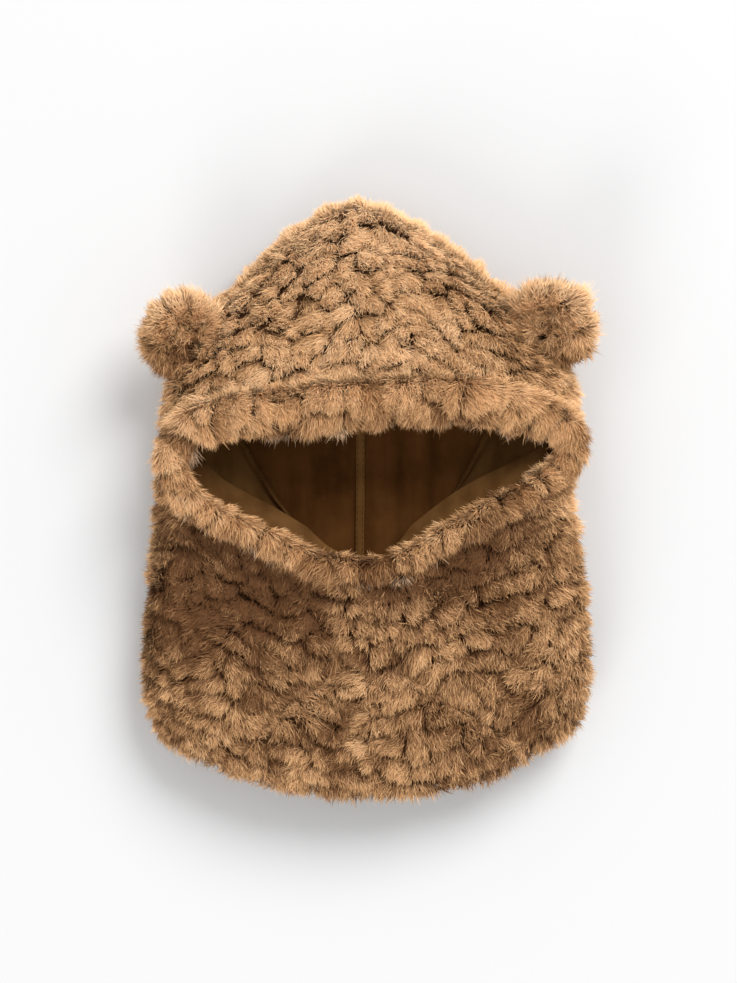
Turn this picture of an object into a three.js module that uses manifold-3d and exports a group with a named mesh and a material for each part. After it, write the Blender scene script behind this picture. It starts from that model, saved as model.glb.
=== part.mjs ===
// A bear ear balaclava of deep faux fur with a brushed lining, lying on its back with the face opening up.
// Units are millimetres. X runs across it, Y from the hem to the crown and Z up from the surface it lies
// on. Each fur panel is a wall of knitted backing and pile. Its outer form is rows of locks that lie
// towards the hem.

import * as THREE from "three";
import { mergeVertices } from "three/addons/utils/BufferGeometryUtils.js";
import Module from "manifold-3d";

const wasm = await Module();
wasm.setup();

// Driving sizes of the whole
const bodyWidth = 256; // across the cowl, over the fur
const bodyLength = 342; // from the hem to the peak of the crown, over the fur
const browHeight = 74; // from the surface up to the fur above the brow

// Cloth
const furWall = 12; // backing and pile of a fur panel
const liningWall = 1.5;
const seatGap = 0.35; // clearance between neighbouring pieces

// Locks of fur
const rowPitch = 16.5; // from one row of locks to the next
const lockPitch = 18; // from one lock to the next along a row
const lockDepth = 3.6; // from a lock's tip down to the groove above it
const tipShare = 0.3; // where a lock's tip lies between two rows
const besideDip = 0.5; // how far the fur dips between two locks, as a share of a lock's depth
const seamDip = 0.8; // how far it dips over a centre seam
const hemRounding = 0.45; // how far the fur is rounded in at the hem, as a share of its wall
const ridgeRounds = [1.3, 1.65, 1.92]; // lines that round the crown over, in quarter turns past the ridge

// The rolled trim round the face
const trimWidth = 32;
const trimThickness = 25;
const trimLockPitch = 16;

// Ears
const earWidth = 57;
const earLength = 54;
const earThickness = 26;
const earCup = 8; // depth of the hollow in an ear's face
const earTilt = 32; // degrees that an ear's tip stands up from the crown

// Lining details
const tapeWidth = 5; // the binding on the lining's back seam
const tapeThickness = 1.4;
const facingWall = 1.6; // the turned edge that finishes the face opening
const facingWidth = 13;
const facingDrop = 9; // how far a facing falls from the trim to its free edge
const facingTurn = 50; // degrees below the trim's side where a facing starts
const liningHemInset = 9; // from the hem to the lining's edge

const half = bodyWidth / 2;
const liningInset = furWall + seatGap;
const hollowInset = liningInset + liningWall;

// How the body lies. Each row is a line across it, from the hem at 0 to the crown's ridge at 1. Widths are
// shares of half the body's width and lengths are shares of its length. Seam is where the centre seam runs,
// left and right are the side folds, mid, leftUp and rightUp are how far up the line lies there, and bow is
// how it bends between them. Top and fold are how high its middle and its side folds lie, as shares of the
// brow's height.
const lie = [
  { at: 0.0, seam: 0.03, left: 0.93, right: 0.955, mid: 0.0, leftUp: 0.1, rightUp: 0.12,
    bow: 2.5, top: 0.57, fold: 0.27 },
  { at: 0.09, seam: 0.03, left: 0.99, right: 0.99, mid: 0.085, leftUp: 0.165, rightUp: 0.185,
    bow: 2.3, top: 0.68, fold: 0.3 },
  { at: 0.2, seam: 0.02, left: 1.0, right: 1.0, mid: 0.195, leftUp: 0.265, rightUp: 0.29,
    bow: 2.1, top: 0.75, fold: 0.32 },
  { at: 0.31, seam: 0.0, left: 0.975, right: 0.965, mid: 0.305, leftUp: 0.375, rightUp: 0.415,
    bow: 1.6, top: 0.81, fold: 0.34 },
  { at: 0.4, seam: -0.03, left: 0.95, right: 0.92, mid: 0.4, leftUp: 0.472, rightUp: 0.52,
    bow: 1.2, top: 0.86, fold: 0.36 },
  { at: 0.53, seam: -0.03, left: 0.94, right: 0.945, mid: 0.52, leftUp: 0.545, rightUp: 0.585,
    bow: 1.3, top: 0.94, fold: 0.37 },
  { at: 0.66, seam: -0.03, left: 0.935, right: 0.955, mid: 0.655, leftUp: 0.62, rightUp: 0.645,
    bow: 1.6, top: 1.0, fold: 0.37 },
  { at: 0.78, seam: -0.04, left: 0.915, right: 0.94, mid: 0.79, leftUp: 0.68, rightUp: 0.695,
    bow: 1.7, top: 0.95, fold: 0.34 },
  { at: 0.9, seam: -0.05, left: 0.885, right: 0.91, mid: 0.905, leftUp: 0.73, rightUp: 0.735,
    bow: 1.55, top: 0.78, fold: 0.29 },
  { at: 1.0, seam: -0.055, left: 0.84, right: 0.87, mid: 1.0, leftUp: 0.765, rightUp: 0.77,
    bow: 1.42, top: 0.52, fold: 0.25 },
];
const neckSeam = 0.4; // the row where the hood joins the cowl
const sidePower = 2.6; // how square a line's section is at the side folds
const frontPower = 2.2;
const backPower = 3.2;
const flattening = 1.14; // how much of the back is pressed flat on the surface it lies on

// Dents in the front, from one point to another, across and up as shares. Reach is how far a dent spreads,
// as a share of half the body's width, and depth is how deep it is, as a share of the fur's wall.
const dents = [
  { fromAcross: -0.66, fromUp: 0.385, toAcross: -0.4, toUp: 0.35, reach: 0.1875, depth: 11 / 12 },
  { fromAcross: 0.4, fromUp: 0.37, toAcross: 0.74, toUp: 0.43, reach: 0.1875, depth: 11 / 12 },
  { fromAcross: -0.1, fromUp: 0.225, toAcross: -0.56, toUp: 0.095, reach: 0.0546875, depth: 1 / 2 },
  { fromAcross: 0.17, fromUp: 0.21, toAcross: 0.65, toUp: 0.1, reach: 0.0546875, depth: 1 / 2 },
  { fromAcross: -0.34, fromUp: 0.8, toAcross: -0.24, toUp: 0.72, reach: 0.09375, depth: 5 / 12 },
  { fromAcross: 0.28, fromUp: 0.78, toAcross: 0.5, toUp: 0.7, reach: 0.09375, depth: 1 / 3 },
];

// The middle of the rolled trim, clockwise from the brow. Across and up are shares, and wide and thick are
// shares of the trim's width and thickness. Sink is how far its middle lies below the fur, as a share of
// its thickness.
const trimLine = [
  { across: -0.03, up: 0.651, wide: 1.0, thick: 1.0, sink: 0.18 },
  { across: 0.3, up: 0.657, wide: 1.0, thick: 1.0, sink: 0.18 },
  { across: 0.62, up: 0.645, wide: 0.95, thick: 0.98, sink: 0.14 },
  { across: 0.84, up: 0.618, wide: 0.8, thick: 0.9, sink: 0.05 },
  { across: 0.895, up: 0.578, wide: 0.7, thick: 0.84, sink: -0.1 },
  { across: 0.8, up: 0.53, wide: 0.62, thick: 0.76, sink: 0.12 },
  { across: 0.48, up: 0.462, wide: 0.6, thick: 0.74, sink: 0.2 },
  { across: 0.14, up: 0.39, wide: 0.66, thick: 0.74, sink: 0.26 },
  { across: -0.16, up: 0.385, wide: 0.66, thick: 0.74, sink: 0.26 },
  { across: -0.46, up: 0.432, wide: 0.58, thick: 0.74, sink: 0.2 },
  { across: -0.745, up: 0.489, wide: 0.62, thick: 0.78, sink: 0.1 },
  { across: -0.845, up: 0.552, wide: 0.74, thick: 0.86, sink: -0.08 },
  { across: -0.745, up: 0.613, wide: 0.86, thick: 0.94, sink: 0.08 },
  { across: -0.4, up: 0.638, wide: 0.98, thick: 1.0, sink: 0.18 },
];

// The stretch of the trim that each facing is sewn under, from its upper end to its lower one, in rows of
// that table.
const facingSpans = {
  left: { from: 11.6, to: 7.9 },
  right: { from: 4.35, to: 7.1 },
};

// The lining's side panels fall from under the facings to a fold on the back lining.
const sideFolds = {
  left: [
    { across: -0.6, up: 0.63 },
    { across: -0.5, up: 0.56 },
    { across: -0.385, up: 0.49 },
    { across: -0.27, up: 0.433 },
    { across: -0.12, up: 0.385 },
  ],
  right: [
    { across: 0.56, up: 0.64 },
    { across: 0.49, up: 0.58 },
    { across: 0.4, up: 0.515 },
    { across: 0.31, up: 0.448 },
    { across: 0.2, up: 0.4 },
  ],
};
const panelTuck = 0.4; // how far a panel runs on under the facing, as a share of the facing's width
const panelSag = 2.5;
const panelLift = 1.6; // how high a panel's fold lies over the back lining, in thicknesses of the lining

// Where each ear's middle lies, and the way that its tip points, in degrees from across.
const ears = {
  left: { across: -0.8, up: 0.762, points: 130 },
  right: { across: 0.81, up: 0.78, points: 55 },
};
const earSeat = 0.62; // how far an ear's middle lies above the fur, as a share of its thickness

// Colours
const furColour = 0xb98c63;
const trimColour = 0xc69a70;
const liningColour = 0x4a3018;
const facingColour = 0x5a4022;

// A value of a column of a table between its rows, on a smooth curve.
function between(rows, place, column, key = "at") {
  const last = rows.length - 2;
  let i = rows.findIndex((row, n) => n <= last && place <= rows[n + 1][key]);
  if (i < 0) i = last;
  const slope = (n) => {
    const before = rows[Math.max(n - 1, 0)];
    const after = rows[Math.min(n + 1, rows.length - 1)];
    return (after[column] - before[column]) / (after[key] - before[key]);
  };
  const span = rows[i + 1][key] - rows[i][key];
  const share = Math.min(Math.max((place - rows[i][key]) / span, 0), 1);
  const rise = share * share * (3 - 2 * share);
  const start = span * slope(i) * share * (1 - share) ** 2;
  const end = span * slope(i + 1) * share * share * (share - 1);
  return rows[i][column] * (1 - rise) + rows[i + 1][column] * rise + start + end;
}

// How deep the front is dented at a point.
function dentAt(x, y) {
  let deep = 0;
  for (const dent of dents) {
    const x0 = dent.fromAcross * half;
    const y0 = dent.fromUp * bodyLength;
    const dx = dent.toAcross * half - x0;
    const dy = dent.toUp * bodyLength - y0;
    const along = ((x - x0) * dx + (y - y0) * dy) / (dx * dx + dy * dy);
    const held = Math.min(Math.max(along, 0), 1);
    const far = Math.hypot(x - x0 - held * dx, y - y0 - held * dy);
    deep += dent.depth * furWall * Math.exp(-((far / (dent.reach * half)) ** 2));
  }
  return deep;
}

// A point of the body. Sideways runs from -1 at the left fold to 1 at the right one, plump is how far the
// section has swelled there, and inset is how deep inside the fur's outer form the point lies.
function pointOn(sideways, plump, front, row, inset) {
  const at = Math.min(Math.max(row, 0), 1);
  const value = (column) => between(lie, at, column);
  const seam = value("seam") * half;
  const edge = sideways < 0 ? inset - value("left") * half : value("right") * half - inset;
  const x = seam + Math.abs(sideways) * (edge - seam);
  const up = value(sideways < 0 ? "leftUp" : "rightUp");
  const middle = value("mid");
  const bend = Math.abs(sideways) ** value("bow");
  let y = (middle + (up - middle) * bend) * (bodyLength - furWall);
  const top = value("top") * browHeight;
  const fold = value("fold") * browHeight;
  let z = fold + (top - inset - fold) * plump - dentAt(x, y) * plump;
  if (!front) z = Math.max(inset, fold - (flattening * fold - inset) * plump);
  if (row > 1) {
    // past the ridge the two sides of the fur round off to each other
    const turn = ((row - 1) * Math.PI) / 2;
    y += furWall * Math.sin(turn);
    z = fold + (z - fold) * Math.cos(turn);
  }
  return new THREE.Vector3(x, y, z);
}

// A point of the body by its angle round the section, from 0 at the right fold past the front at 90 degrees.
function pointAt(angle, row, inset) {
  const radians = (angle * Math.PI) / 180;
  const across = Math.cos(radians);
  const front = Math.sin(radians) >= 0;
  const plump = Math.abs(Math.sin(radians)) ** (2 / (front ? frontPower : backPower));
  const sideways = Math.sign(across) * Math.abs(across) ** (2 / sidePower);
  return pointOn(sideways, plump, front, row, inset);
}

// A point of the fur's outer form, pushed in along the surface's normal where there is a groove. The pile has
// no grooves where it is pressed flat on what it lies on.
function furPoint(angle, row, inset, groove) {
  const here = pointAt(angle, row, inset);
  if (!groove || here.z < 1e-6) return here;
  const turn = pointAt(angle + 0.5, row, inset).sub(pointAt(angle - 0.5, row, inset));
  const climb = pointAt(angle, row + 0.01, inset).sub(pointAt(angle, row - 0.01, inset));
  here.addScaledVector(turn.cross(climb).normalize(), groove);
  here.z = Math.max(here.z, 0);
  return here;
}

// The point on the front of the body that lies over a place, for whatever is seated there.
function frontOver(x, y, inset) {
  let low = 0;
  let high = 1.98;
  let point;
  for (let i = 0; i < 40; i++) {
    const row = (low + high) / 2;
    const at = Math.min(row, 1);
    const seam = between(lie, at, "seam") * half;
    const left = between(lie, at, "left") * half - inset + seam;
    const right = between(lie, at, "right") * half - inset - seam;
    const edge = x < seam ? left : right;
    const sideways = Math.max(-0.995, Math.min(0.995, (x - seam) / edge));
    const plump = (1 - Math.abs(sideways) ** sidePower) ** (1 / frontPower);
    point = pointOn(sideways, plump, true, row, inset);
    if (point.y < y) low = row;
    else high = row;
  }
  return point;
}

// Angles from the front seam to the back seam past one side fold, evenly spaced along the section.
function evenAngles(count, side) {
  const fine = 400;
  const lengths = [0];
  for (let i = 1; i <= fine; i++) {
    const before = pointAt(90 + (90 * (i - 1)) / fine, neckSeam / 2, 0);
    const after = pointAt(90 + (90 * i) / fine, neckSeam / 2, 0);
    lengths.push(lengths[i - 1] + before.distanceTo(after));
  }
  const quarter = [];
  for (let k = 0; k <= count / 2; k++) {
    const wanted = (lengths[fine] * 2 * k) / count;
    const i = lengths.findIndex((length) => length >= wanted - 1e-9);
    quarter.push((90 * i) / fine);
  }
  const turns = [...quarter, ...quarter.slice(0, -1).reverse().map((turn) => 180 - turn)];
  return turns.map((turn) => 90 + (side === "left" ? turn : -turn));
}

// Collects the triangles of one closed body.
class Faces {
  constructor() {
    this.corners = [];
  }
  triangle(a, b, c) {
    if (a.distanceTo(b) < 1e-4 || b.distanceTo(c) < 1e-4 || c.distanceTo(a) < 1e-4) return;
    this.corners.push(a, b, c);
  }
  quad(a, b, c, d) {
    this.triangle(a, b, c);
    this.triangle(a, c, d);
  }
  // A band between two lines, which may have different numbers of points.
  band(from, to) {
    let i = 0;
    let j = 0;
    while (i < from.length - 1 || j < to.length - 1) {
      const nextFrom = (i + 1) / (from.length - 1);
      const nextTo = (j + 1) / (to.length - 1);
      const isFrom = from.length >= to.length ? nextFrom < nextTo + 1e-9 : nextFrom < nextTo - 1e-9;
      if (j === to.length - 1 || (i < from.length - 1 && isFrom)) {
        this.triangle(from[i], to[j], from[i + 1]);
        i++;
      } else {
        this.triangle(from[i], to[j], to[j + 1]);
        j++;
      }
    }
  }
  // A sheet of rows of points, facing the other way if turned.
  sheet(rows, turned = false) {
    for (let i = 1; i < rows.length; i++) {
      for (let k = 1; k < rows[i].length; k++) {
        const [a, b, c, d] = [rows[i - 1][k - 1], rows[i - 1][k], rows[i][k], rows[i][k - 1]];
        if (turned) this.quad(a, d, c, b);
        else this.quad(a, b, c, d);
      }
    }
  }
  // Closes a row of points by folding its second half onto its first.
  fold(row, turned = false) {
    const end = row.length - 1;
    for (let k = 0; k < end / 2; k++) {
      const corners = [row[k], row[k + 1], row[end - k - 1], row[end - k]];
      if (turned) corners.reverse();
      this.quad(...corners);
    }
  }
  solid() {
    const raw = new THREE.BufferGeometry().setFromPoints(this.corners);
    const merged = mergeVertices(raw, 1e-3);
    const triVerts = new Uint32Array(merged.index.array);
    const vertProperties = merged.attributes.position.array;
    const made = new wasm.Manifold(new wasm.Mesh({ numProp: 3, vertProperties, triVerts }));
    if (made.volume() > 0) return made;
    for (let i = 0; i < triVerts.length; i += 3) {
      [triVerts[i + 1], triVerts[i + 2]] = [triVerts[i + 2], triVerts[i + 1]];
    }
    return new wasm.Manifold(new wasm.Mesh({ numProp: 3, vertProperties, triVerts }));
  }
}

// A wall between an outer and an inner sheet, each a list of rows of points. A wall that is ridged closes
// at its last row as the crown does, where the front half of a row meets its back half.
function wallOf(outer, inner, ridged = false) {
  const faces = new Faces();
  const last = (sheet) => sheet[sheet.length - 1];
  const column = (sheet, k) => sheet.map((row) => row[k]);
  const end = outer[0].length - 1;
  const innerEnd = inner[0].length - 1;
  faces.sheet(outer);
  faces.sheet(inner, true);
  faces.band(outer[0], inner[0]);
  faces.band(column(inner, 0), column(outer, 0));
  faces.band(column(outer, end), column(inner, innerEnd));
  if (!ridged) {
    faces.band(last(inner), last(outer));
    return faces.solid();
  }
  faces.fold(last(outer));
  faces.fold(last(inner), true);
  faces.quad(last(outer)[0], last(outer)[end], last(inner)[innerEnd], last(inner)[0]);
  return faces.solid();
}

// Moves a half clear of the centre seam.
function clearOfSeam(rows, side) {
  const shift = ((side === "left" ? -1 : 1) * seatGap) / 2;
  return rows.map((row) => row.map((point) => point.clone().setX(point.x + shift)));
}

// The places between two rows of the body where the locks of a fur panel start and where their tips lie.
function lockPlaces(fromRow, toRow) {
  const count = Math.max(2, Math.round(((toRow - fromRow) * bodyLength) / rowPitch));
  const pitch = (toRow - fromRow) / count;
  const places = [];
  for (let n = 0; n < count; n++) {
    places.push({ at: fromRow + n * pitch, row: n, isTip: false });
    places.push({ at: fromRow + (n + tipShare) * pitch, row: n, isTip: true });
  }
  places.push({ at: toRow, row: count, isTip: false });
  return places;
}

// The outer form of half a fur panel between two rows of the body, with a groove and a line of lock tips for
// each row.
function furRows(angles, fromRow, toRow, side) {
  const rows = lockPlaces(fromRow, toRow).map((place) =>
    angles.map((angle, k) => {
      if (place.at === 0) return furPoint(angle, 0, hemRounding * furWall, 0);
      const isSeam = k === 0 || k === angles.length - 1;
      const dip = isSeam ? seamDip : (k + place.row) % 2 ? besideDip : 0;
      return furPoint(angle, place.at, 0, lockDepth * (place.isTip ? dip : 1));
    }),
  );
  if (toRow === 1) {
    rows.push(...ridgeRounds.map((past) => angles.map((angle) => furPoint(angle, past, 0, 0))));
  }
  return clearOfSeam(rows, side);
}

// A plain sheet of half the body at a depth.
function plainRows(angles, places, inset, side) {
  const rows = places.map((place) => angles.map((angle) => pointAt(angle, place, inset)));
  return clearOfSeam(rows, side);
}

// Evenly spaced numbers from one value to another.
function steps(from, to, count) {
  return Array.from({ length: count + 1 }, (_, i) => from + ((to - from) * i) / count);
}

const seamShare = seatGap / bodyLength; // half the gap along the rows, which crowd together at the side folds
const ridgeShare = 1 - liningInset / 2 / bodyLength; // the row where the lining closes under the crown
const hemShare = liningHemInset / bodyLength;
const locksPerHalf = 2 * Math.round((2 * bodyWidth) / lockPitch / 2);
const linedAngles = 2 * Math.round(locksPerHalf / 4);

// The rows that the fur's backing and the lining share, so that they lie evenly on each other.
const cowlPlaces = steps(hemShare, neckSeam, 4);
const hoodPlaces = steps(neckSeam, ridgeShare, 8);

function hoodHalf(side) {
  const start = neckSeam + seamShare;
  const outer = furRows(evenAngles(locksPerHalf, side), start, 1, side);
  const inner = plainRows(evenAngles(linedAngles, side), [start, ...hoodPlaces.slice(1), 1], furWall, side);
  return wallOf(outer, inner, true);
}

function cowlHalf(side) {
  const end = neckSeam - seamShare;
  const outer = furRows(evenAngles(locksPerHalf, side), 0, end, side);
  const inner = plainRows(evenAngles(linedAngles, side), [0, ...cowlPlaces.slice(0, -1), end], furWall, side);
  return wallOf(outer, inner);
}

function liningHalf(side) {
  const angles = evenAngles(linedAngles, side);
  const places = [...cowlPlaces, ...hoodPlaces.slice(1)];
  const outer = plainRows(angles, places, liningInset, side);
  const crown = ridgeShare - liningWall / bodyLength;
  const inner = plainRows(angles, [...places.slice(0, -1), crown], hollowInset, side);
  return wallOf(outer, inner, true);
}

// Half the hood's outer form without its grooves, grown by a clearance, for cutting what is seated on it.
function hoodEnvelope(side) {
  const places = [...lockPlaces(neckSeam, 1).map((place) => place.at), ...ridgeRounds];
  const rows = places.map((place) =>
    evenAngles(locksPerHalf, side).map((angle) => {
      const point = pointAt(angle, place, -seatGap);
      point.y += seatGap;
      return point;
    }),
  );
  const faces = new Faces();
  faces.sheet(rows);
  faces.fold(rows[0], true);
  faces.fold(rows[rows.length - 1]);
  faces.band(
    rows.map((row) => row[locksPerHalf]),
    rows.map((row) => row[0]),
  );
  return faces.solid();
}

// The trim's middle line, with its sizes along it.
const trimPoints = trimLine.map((row) => new THREE.Vector3(row.across * half, row.up * bodyLength, 0));
const trimCurve = new THREE.CatmullRomCurve3(trimPoints, true, "centripetal");
const trimRows = [...trimLine, trimLine[0]].map((row, i) => ({ ...row, at: i / trimLine.length }));

function trimAt(share) {
  const middle = trimCurve.getPoint(share);
  const ahead = trimCurve.getTangent(share);
  const outward = new THREE.Vector3(-ahead.y, ahead.x, 0).normalize();
  const thick = between(trimRows, share, "thick") * trimThickness;
  const sink = between(trimRows, share, "sink") * trimThickness;
  middle.z = frontOver(middle.x, middle.y, 0).z - sink;
  return { middle, outward, wide: between(trimRows, share, "wide") * trimWidth, thick };
}

// The roll of fur round the face opening, grown by a clearance if it is to cut its seat.
function trimRoll(growth) {
  const stations = 2 * Math.round(trimCurve.getLength() / trimLockPitch);
  const around = 8;
  const rings = [];
  for (let i = 0; i <= stations; i++) {
    const { middle, outward, wide, thick } = trimAt((i % stations) / stations);
    const ring = [];
    for (let k = 0; k <= around; k++) {
      const turn = (2 * Math.PI * (k % around)) / around;
      const dip = growth > 0 || i % 2 === 0 ? 0 : besideDip * lockDepth;
      const across = (wide / 2 + growth - dip) * Math.cos(turn);
      const up = (thick / 2 + growth - dip) * Math.sin(turn);
      ring.push(middle.clone().addScaledVector(outward, across).setZ(middle.z + up));
    }
    rings.push(ring);
  }
  const faces = new Faces();
  faces.sheet(rings);
  return faces.solid();
}

// What leaves the front open inside the trim.
function faceCutter() {
  const flat = trimCurve.getPoints(64).map((point) => new THREE.Vector2(point.x, point.y));
  const outline = new THREE.Shape(flat);
  const floor = 0.36 * browHeight;
  const geometry = new THREE.ExtrudeGeometry(outline, { depth: 2 * browHeight, bevelEnabled: false });
  geometry.translate(0, 0, floor);
  return solidFrom(geometry);
}

function solidFrom(geometry) {
  geometry.deleteAttribute("normal");
  geometry.deleteAttribute("uv");
  const faces = new Faces();
  const flat = geometry.index ? geometry.toNonIndexed() : geometry;
  const position = flat.getAttribute("position");
  for (let i = 0; i < position.count; i += 3) {
    faces.triangle(...[0, 1, 2].map((n) => new THREE.Vector3().fromBufferAttribute(position, i + n)));
  }
  return faces.solid();
}

// The way a sheet faces at one of its points.
function facingOf(sheet, i, k) {
  const rowAt = (n) => sheet[Math.min(Math.max(n, 0), sheet.length - 1)];
  const along = rowAt(i + 1)[k].clone().sub(rowAt(i - 1)[k]);
  const row = sheet[i];
  const across = row[Math.min(k + 1, row.length - 1)].clone().sub(row[Math.max(k - 1, 0)]);
  return along.cross(across).normalize();
}

// A sheet of cloth between two edges, each a list of points, with its thickness behind it.
function flap(outerEdge, innerEdge, thickness, sag, side) {
  const top = outerEdge.map((from, i) =>
    steps(0, 1, flapColumns).map((share) => {
      const point = from.clone().lerp(innerEdge[i], share);
      point.z -= sag * Math.sin(Math.PI * share);
      return point;
    }),
  );
  const behind = side === "left" ? -thickness : thickness;
  const lowered = (point, i, k) => point.clone().addScaledVector(facingOf(top, i, k), behind);
  return wallOf(top, top.map((row, i) => row.map((point, k) => lowered(point, i, k))));
}

// Points of a smooth line through a table's points.
function smoothLine(points, count) {
  return new THREE.CatmullRomCurve3(points, false, "centripetal").getPoints(count);
}

const flapSteps = 10;
const flapColumns = 3;

// The two edges of a facing: under the trim, and free.
function facingEdges(side) {
  const span = facingSpans[side];
  const turn = (facingTurn * Math.PI) / 180;
  const outer = [];
  const inner = [];
  for (const share of steps(0, 1, flapSteps)) {
    const place = span.from + (span.to - span.from) * share;
    const { middle, outward, wide, thick } = trimAt(place / trimLine.length);
    middle.addScaledVector(outward, -(wide / 2 + seatGap) * Math.cos(turn));
    middle.z -= (thick / 2 + seatGap) * Math.sin(turn);
    outer.push(middle);
    const reach = facingWidth * (0.5 + 0.5 * Math.sin(Math.PI * share));
    const free = middle.clone().addScaledVector(outward, -reach);
    free.z -= (facingDrop * reach) / facingWidth;
    inner.push(free);
  }
  return { outer, inner };
}

function facing(side) {
  const { outer, inner } = facingEdges(side);
  return flap(outer, inner, facingWall, 0, side);
}

// The side panel starts under the facing's free edge and falls to its fold on the back lining.
function sidePanel(side) {
  const { outer, inner } = facingEdges(side);
  const top = inner.map((point, i) => {
    const tuck = outer[i].clone().sub(point).multiplyScalar(panelTuck);
    const started = point.clone().add(tuck);
    started.z -= facingWall + 4 * seatGap;
    return started;
  });
  const floor = hollowInset + seatGap + panelLift * liningWall;
  const foot = sideFolds[side].map((row) => new THREE.Vector3(row.across * half, row.up * bodyLength, floor));
  return flap(top, smoothLine(foot, flapSteps), liningWall, panelSag, side);
}

// The binding over the lining's back seam.
function seamTape() {
  const places = steps(0.06, 0.95, 12);
  const rows = (height) =>
    places.map((place) =>
      [-0.5, 0.5].map((share) => {
        const point = pointAt(270, place, hollowInset);
        return new THREE.Vector3(point.x + share * tapeWidth, point.y, point.z + height);
      }),
    );
  return wallOf(rows(seatGap + tapeThickness), rows(seatGap));
}

// An ear: a plump round flap with a hollow in its face, whose locks point away from its base.
function ear(side) {
  const place = ears[side];
  const around = 18;
  const layers = 8;
  const rings = [];
  for (let j = 0; j <= layers; j++) {
    const lift = -Math.PI / 2 + (Math.PI * j) / layers;
    const ring = [];
    for (let i = 0; i <= around; i++) {
      const turn = (2 * Math.PI * (i % around)) / around;
      const out = Math.cos(lift);
      const dip = j === 0 || j === layers || (i + j) % 2 === 0 ? 0 : besideDip * lockDepth;
      const length = earLength / 2 - dip;
      const width = earWidth / 2 - dip;
      const cup = lift > 0 ? earCup * (1 - out * out) : 0;
      const x = length * out * Math.cos(turn);
      const y = width * out * Math.sin(turn);
      ring.push(new THREE.Vector3(x, y, (earThickness / 2) * Math.sin(lift) - cup));
    }
    rings.push(ring);
  }
  const turned = new THREE.Matrix4().makeRotationZ((place.points * Math.PI) / 180);
  turned.multiply(new THREE.Matrix4().makeRotationY((-earTilt * Math.PI) / 180));
  const x = place.across * half;
  const y = place.up * bodyLength;
  turned.setPosition(x, y, frontOver(x, y, 0).z + earSeat * earThickness);
  const faces = new Faces();
  faces.sheet(rings.map((ring) => ring.map((point) => point.applyMatrix4(turned))));
  return faces.solid();
}

// Materials
const furCloth = new THREE.MeshStandardMaterial({ color: furColour, roughness: 0.9, metalness: 0 });
const trimCloth = new THREE.MeshStandardMaterial({ color: trimColour, roughness: 0.9, metalness: 0 });
const liningCloth = new THREE.MeshStandardMaterial({ color: liningColour, roughness: 0.8, metalness: 0 });
const facingCloth = new THREE.MeshStandardMaterial({ color: facingColour, roughness: 0.8, metalness: 0 });

// A named mesh of a solid.
function meshOf(name, solid, material) {
  const made = solid.getMesh();
  const stride = made.numProp;
  const position = new Float32Array(made.numVert * 3);
  for (let i = 0; i < made.numVert; i++) {
    position.set(made.vertProperties.subarray(i * stride, i * stride + 3), i * 3);
  }
  const geometry = new THREE.BufferGeometry();
  geometry.setAttribute("position", new THREE.BufferAttribute(position, 3));
  geometry.setIndex(new THREE.BufferAttribute(made.triVerts, 1));
  geometry.computeVertexNormals();
  const mesh = new THREE.Mesh(geometry, material);
  mesh.name = name;
  return mesh;
}

const trimSeat = trimRoll(seatGap);
const cutter = faceCutter().add(trimSeat);

const balaclava = new THREE.Group();
for (const side of ["left", "right"]) {
  balaclava.add(meshOf(`hood_${side}`, hoodHalf(side).subtract(cutter), furCloth));
  balaclava.add(meshOf(`cowl_${side}`, cowlHalf(side).subtract(cutter), furCloth));
  balaclava.add(meshOf(`lining_${side}`, liningHalf(side).subtract(cutter), liningCloth));
  balaclava.add(meshOf(`lining_side_${side}`, sidePanel(side), liningCloth));
  balaclava.add(meshOf(`facing_${side}`, facing(side), facingCloth));
  balaclava.add(meshOf(`ear_${side}`, ear(side).subtract(hoodEnvelope(side)), furCloth));
}
balaclava.add(meshOf("face_trim", trimRoll(0), trimCloth));
balaclava.add(meshOf("lining_seam_tape", seamTape(), facingCloth));

// The origin is the middle of what it covers, on the surface it lies on.
const covered = new THREE.Box3().setFromObject(balaclava);
const middle = covered.getCenter(new THREE.Vector3());
balaclava.position.set(-middle.x, -middle.y, -covered.min.z);

export default balaclava;
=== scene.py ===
# %% [markdown]
# # A bear ear balaclava in deep curly fur
# The hood lies on its back with the face opening up. It is built as it is sewn: knitted backing panels
# first, then the pile that stands on them, the rolled trim, the ears, and last the lining in the opening.
# Everything is measured in millimetres and turned into metres when a mesh is made.

import math

import bpy
import numpy as np
from mathutils import Matrix, Vector


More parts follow.
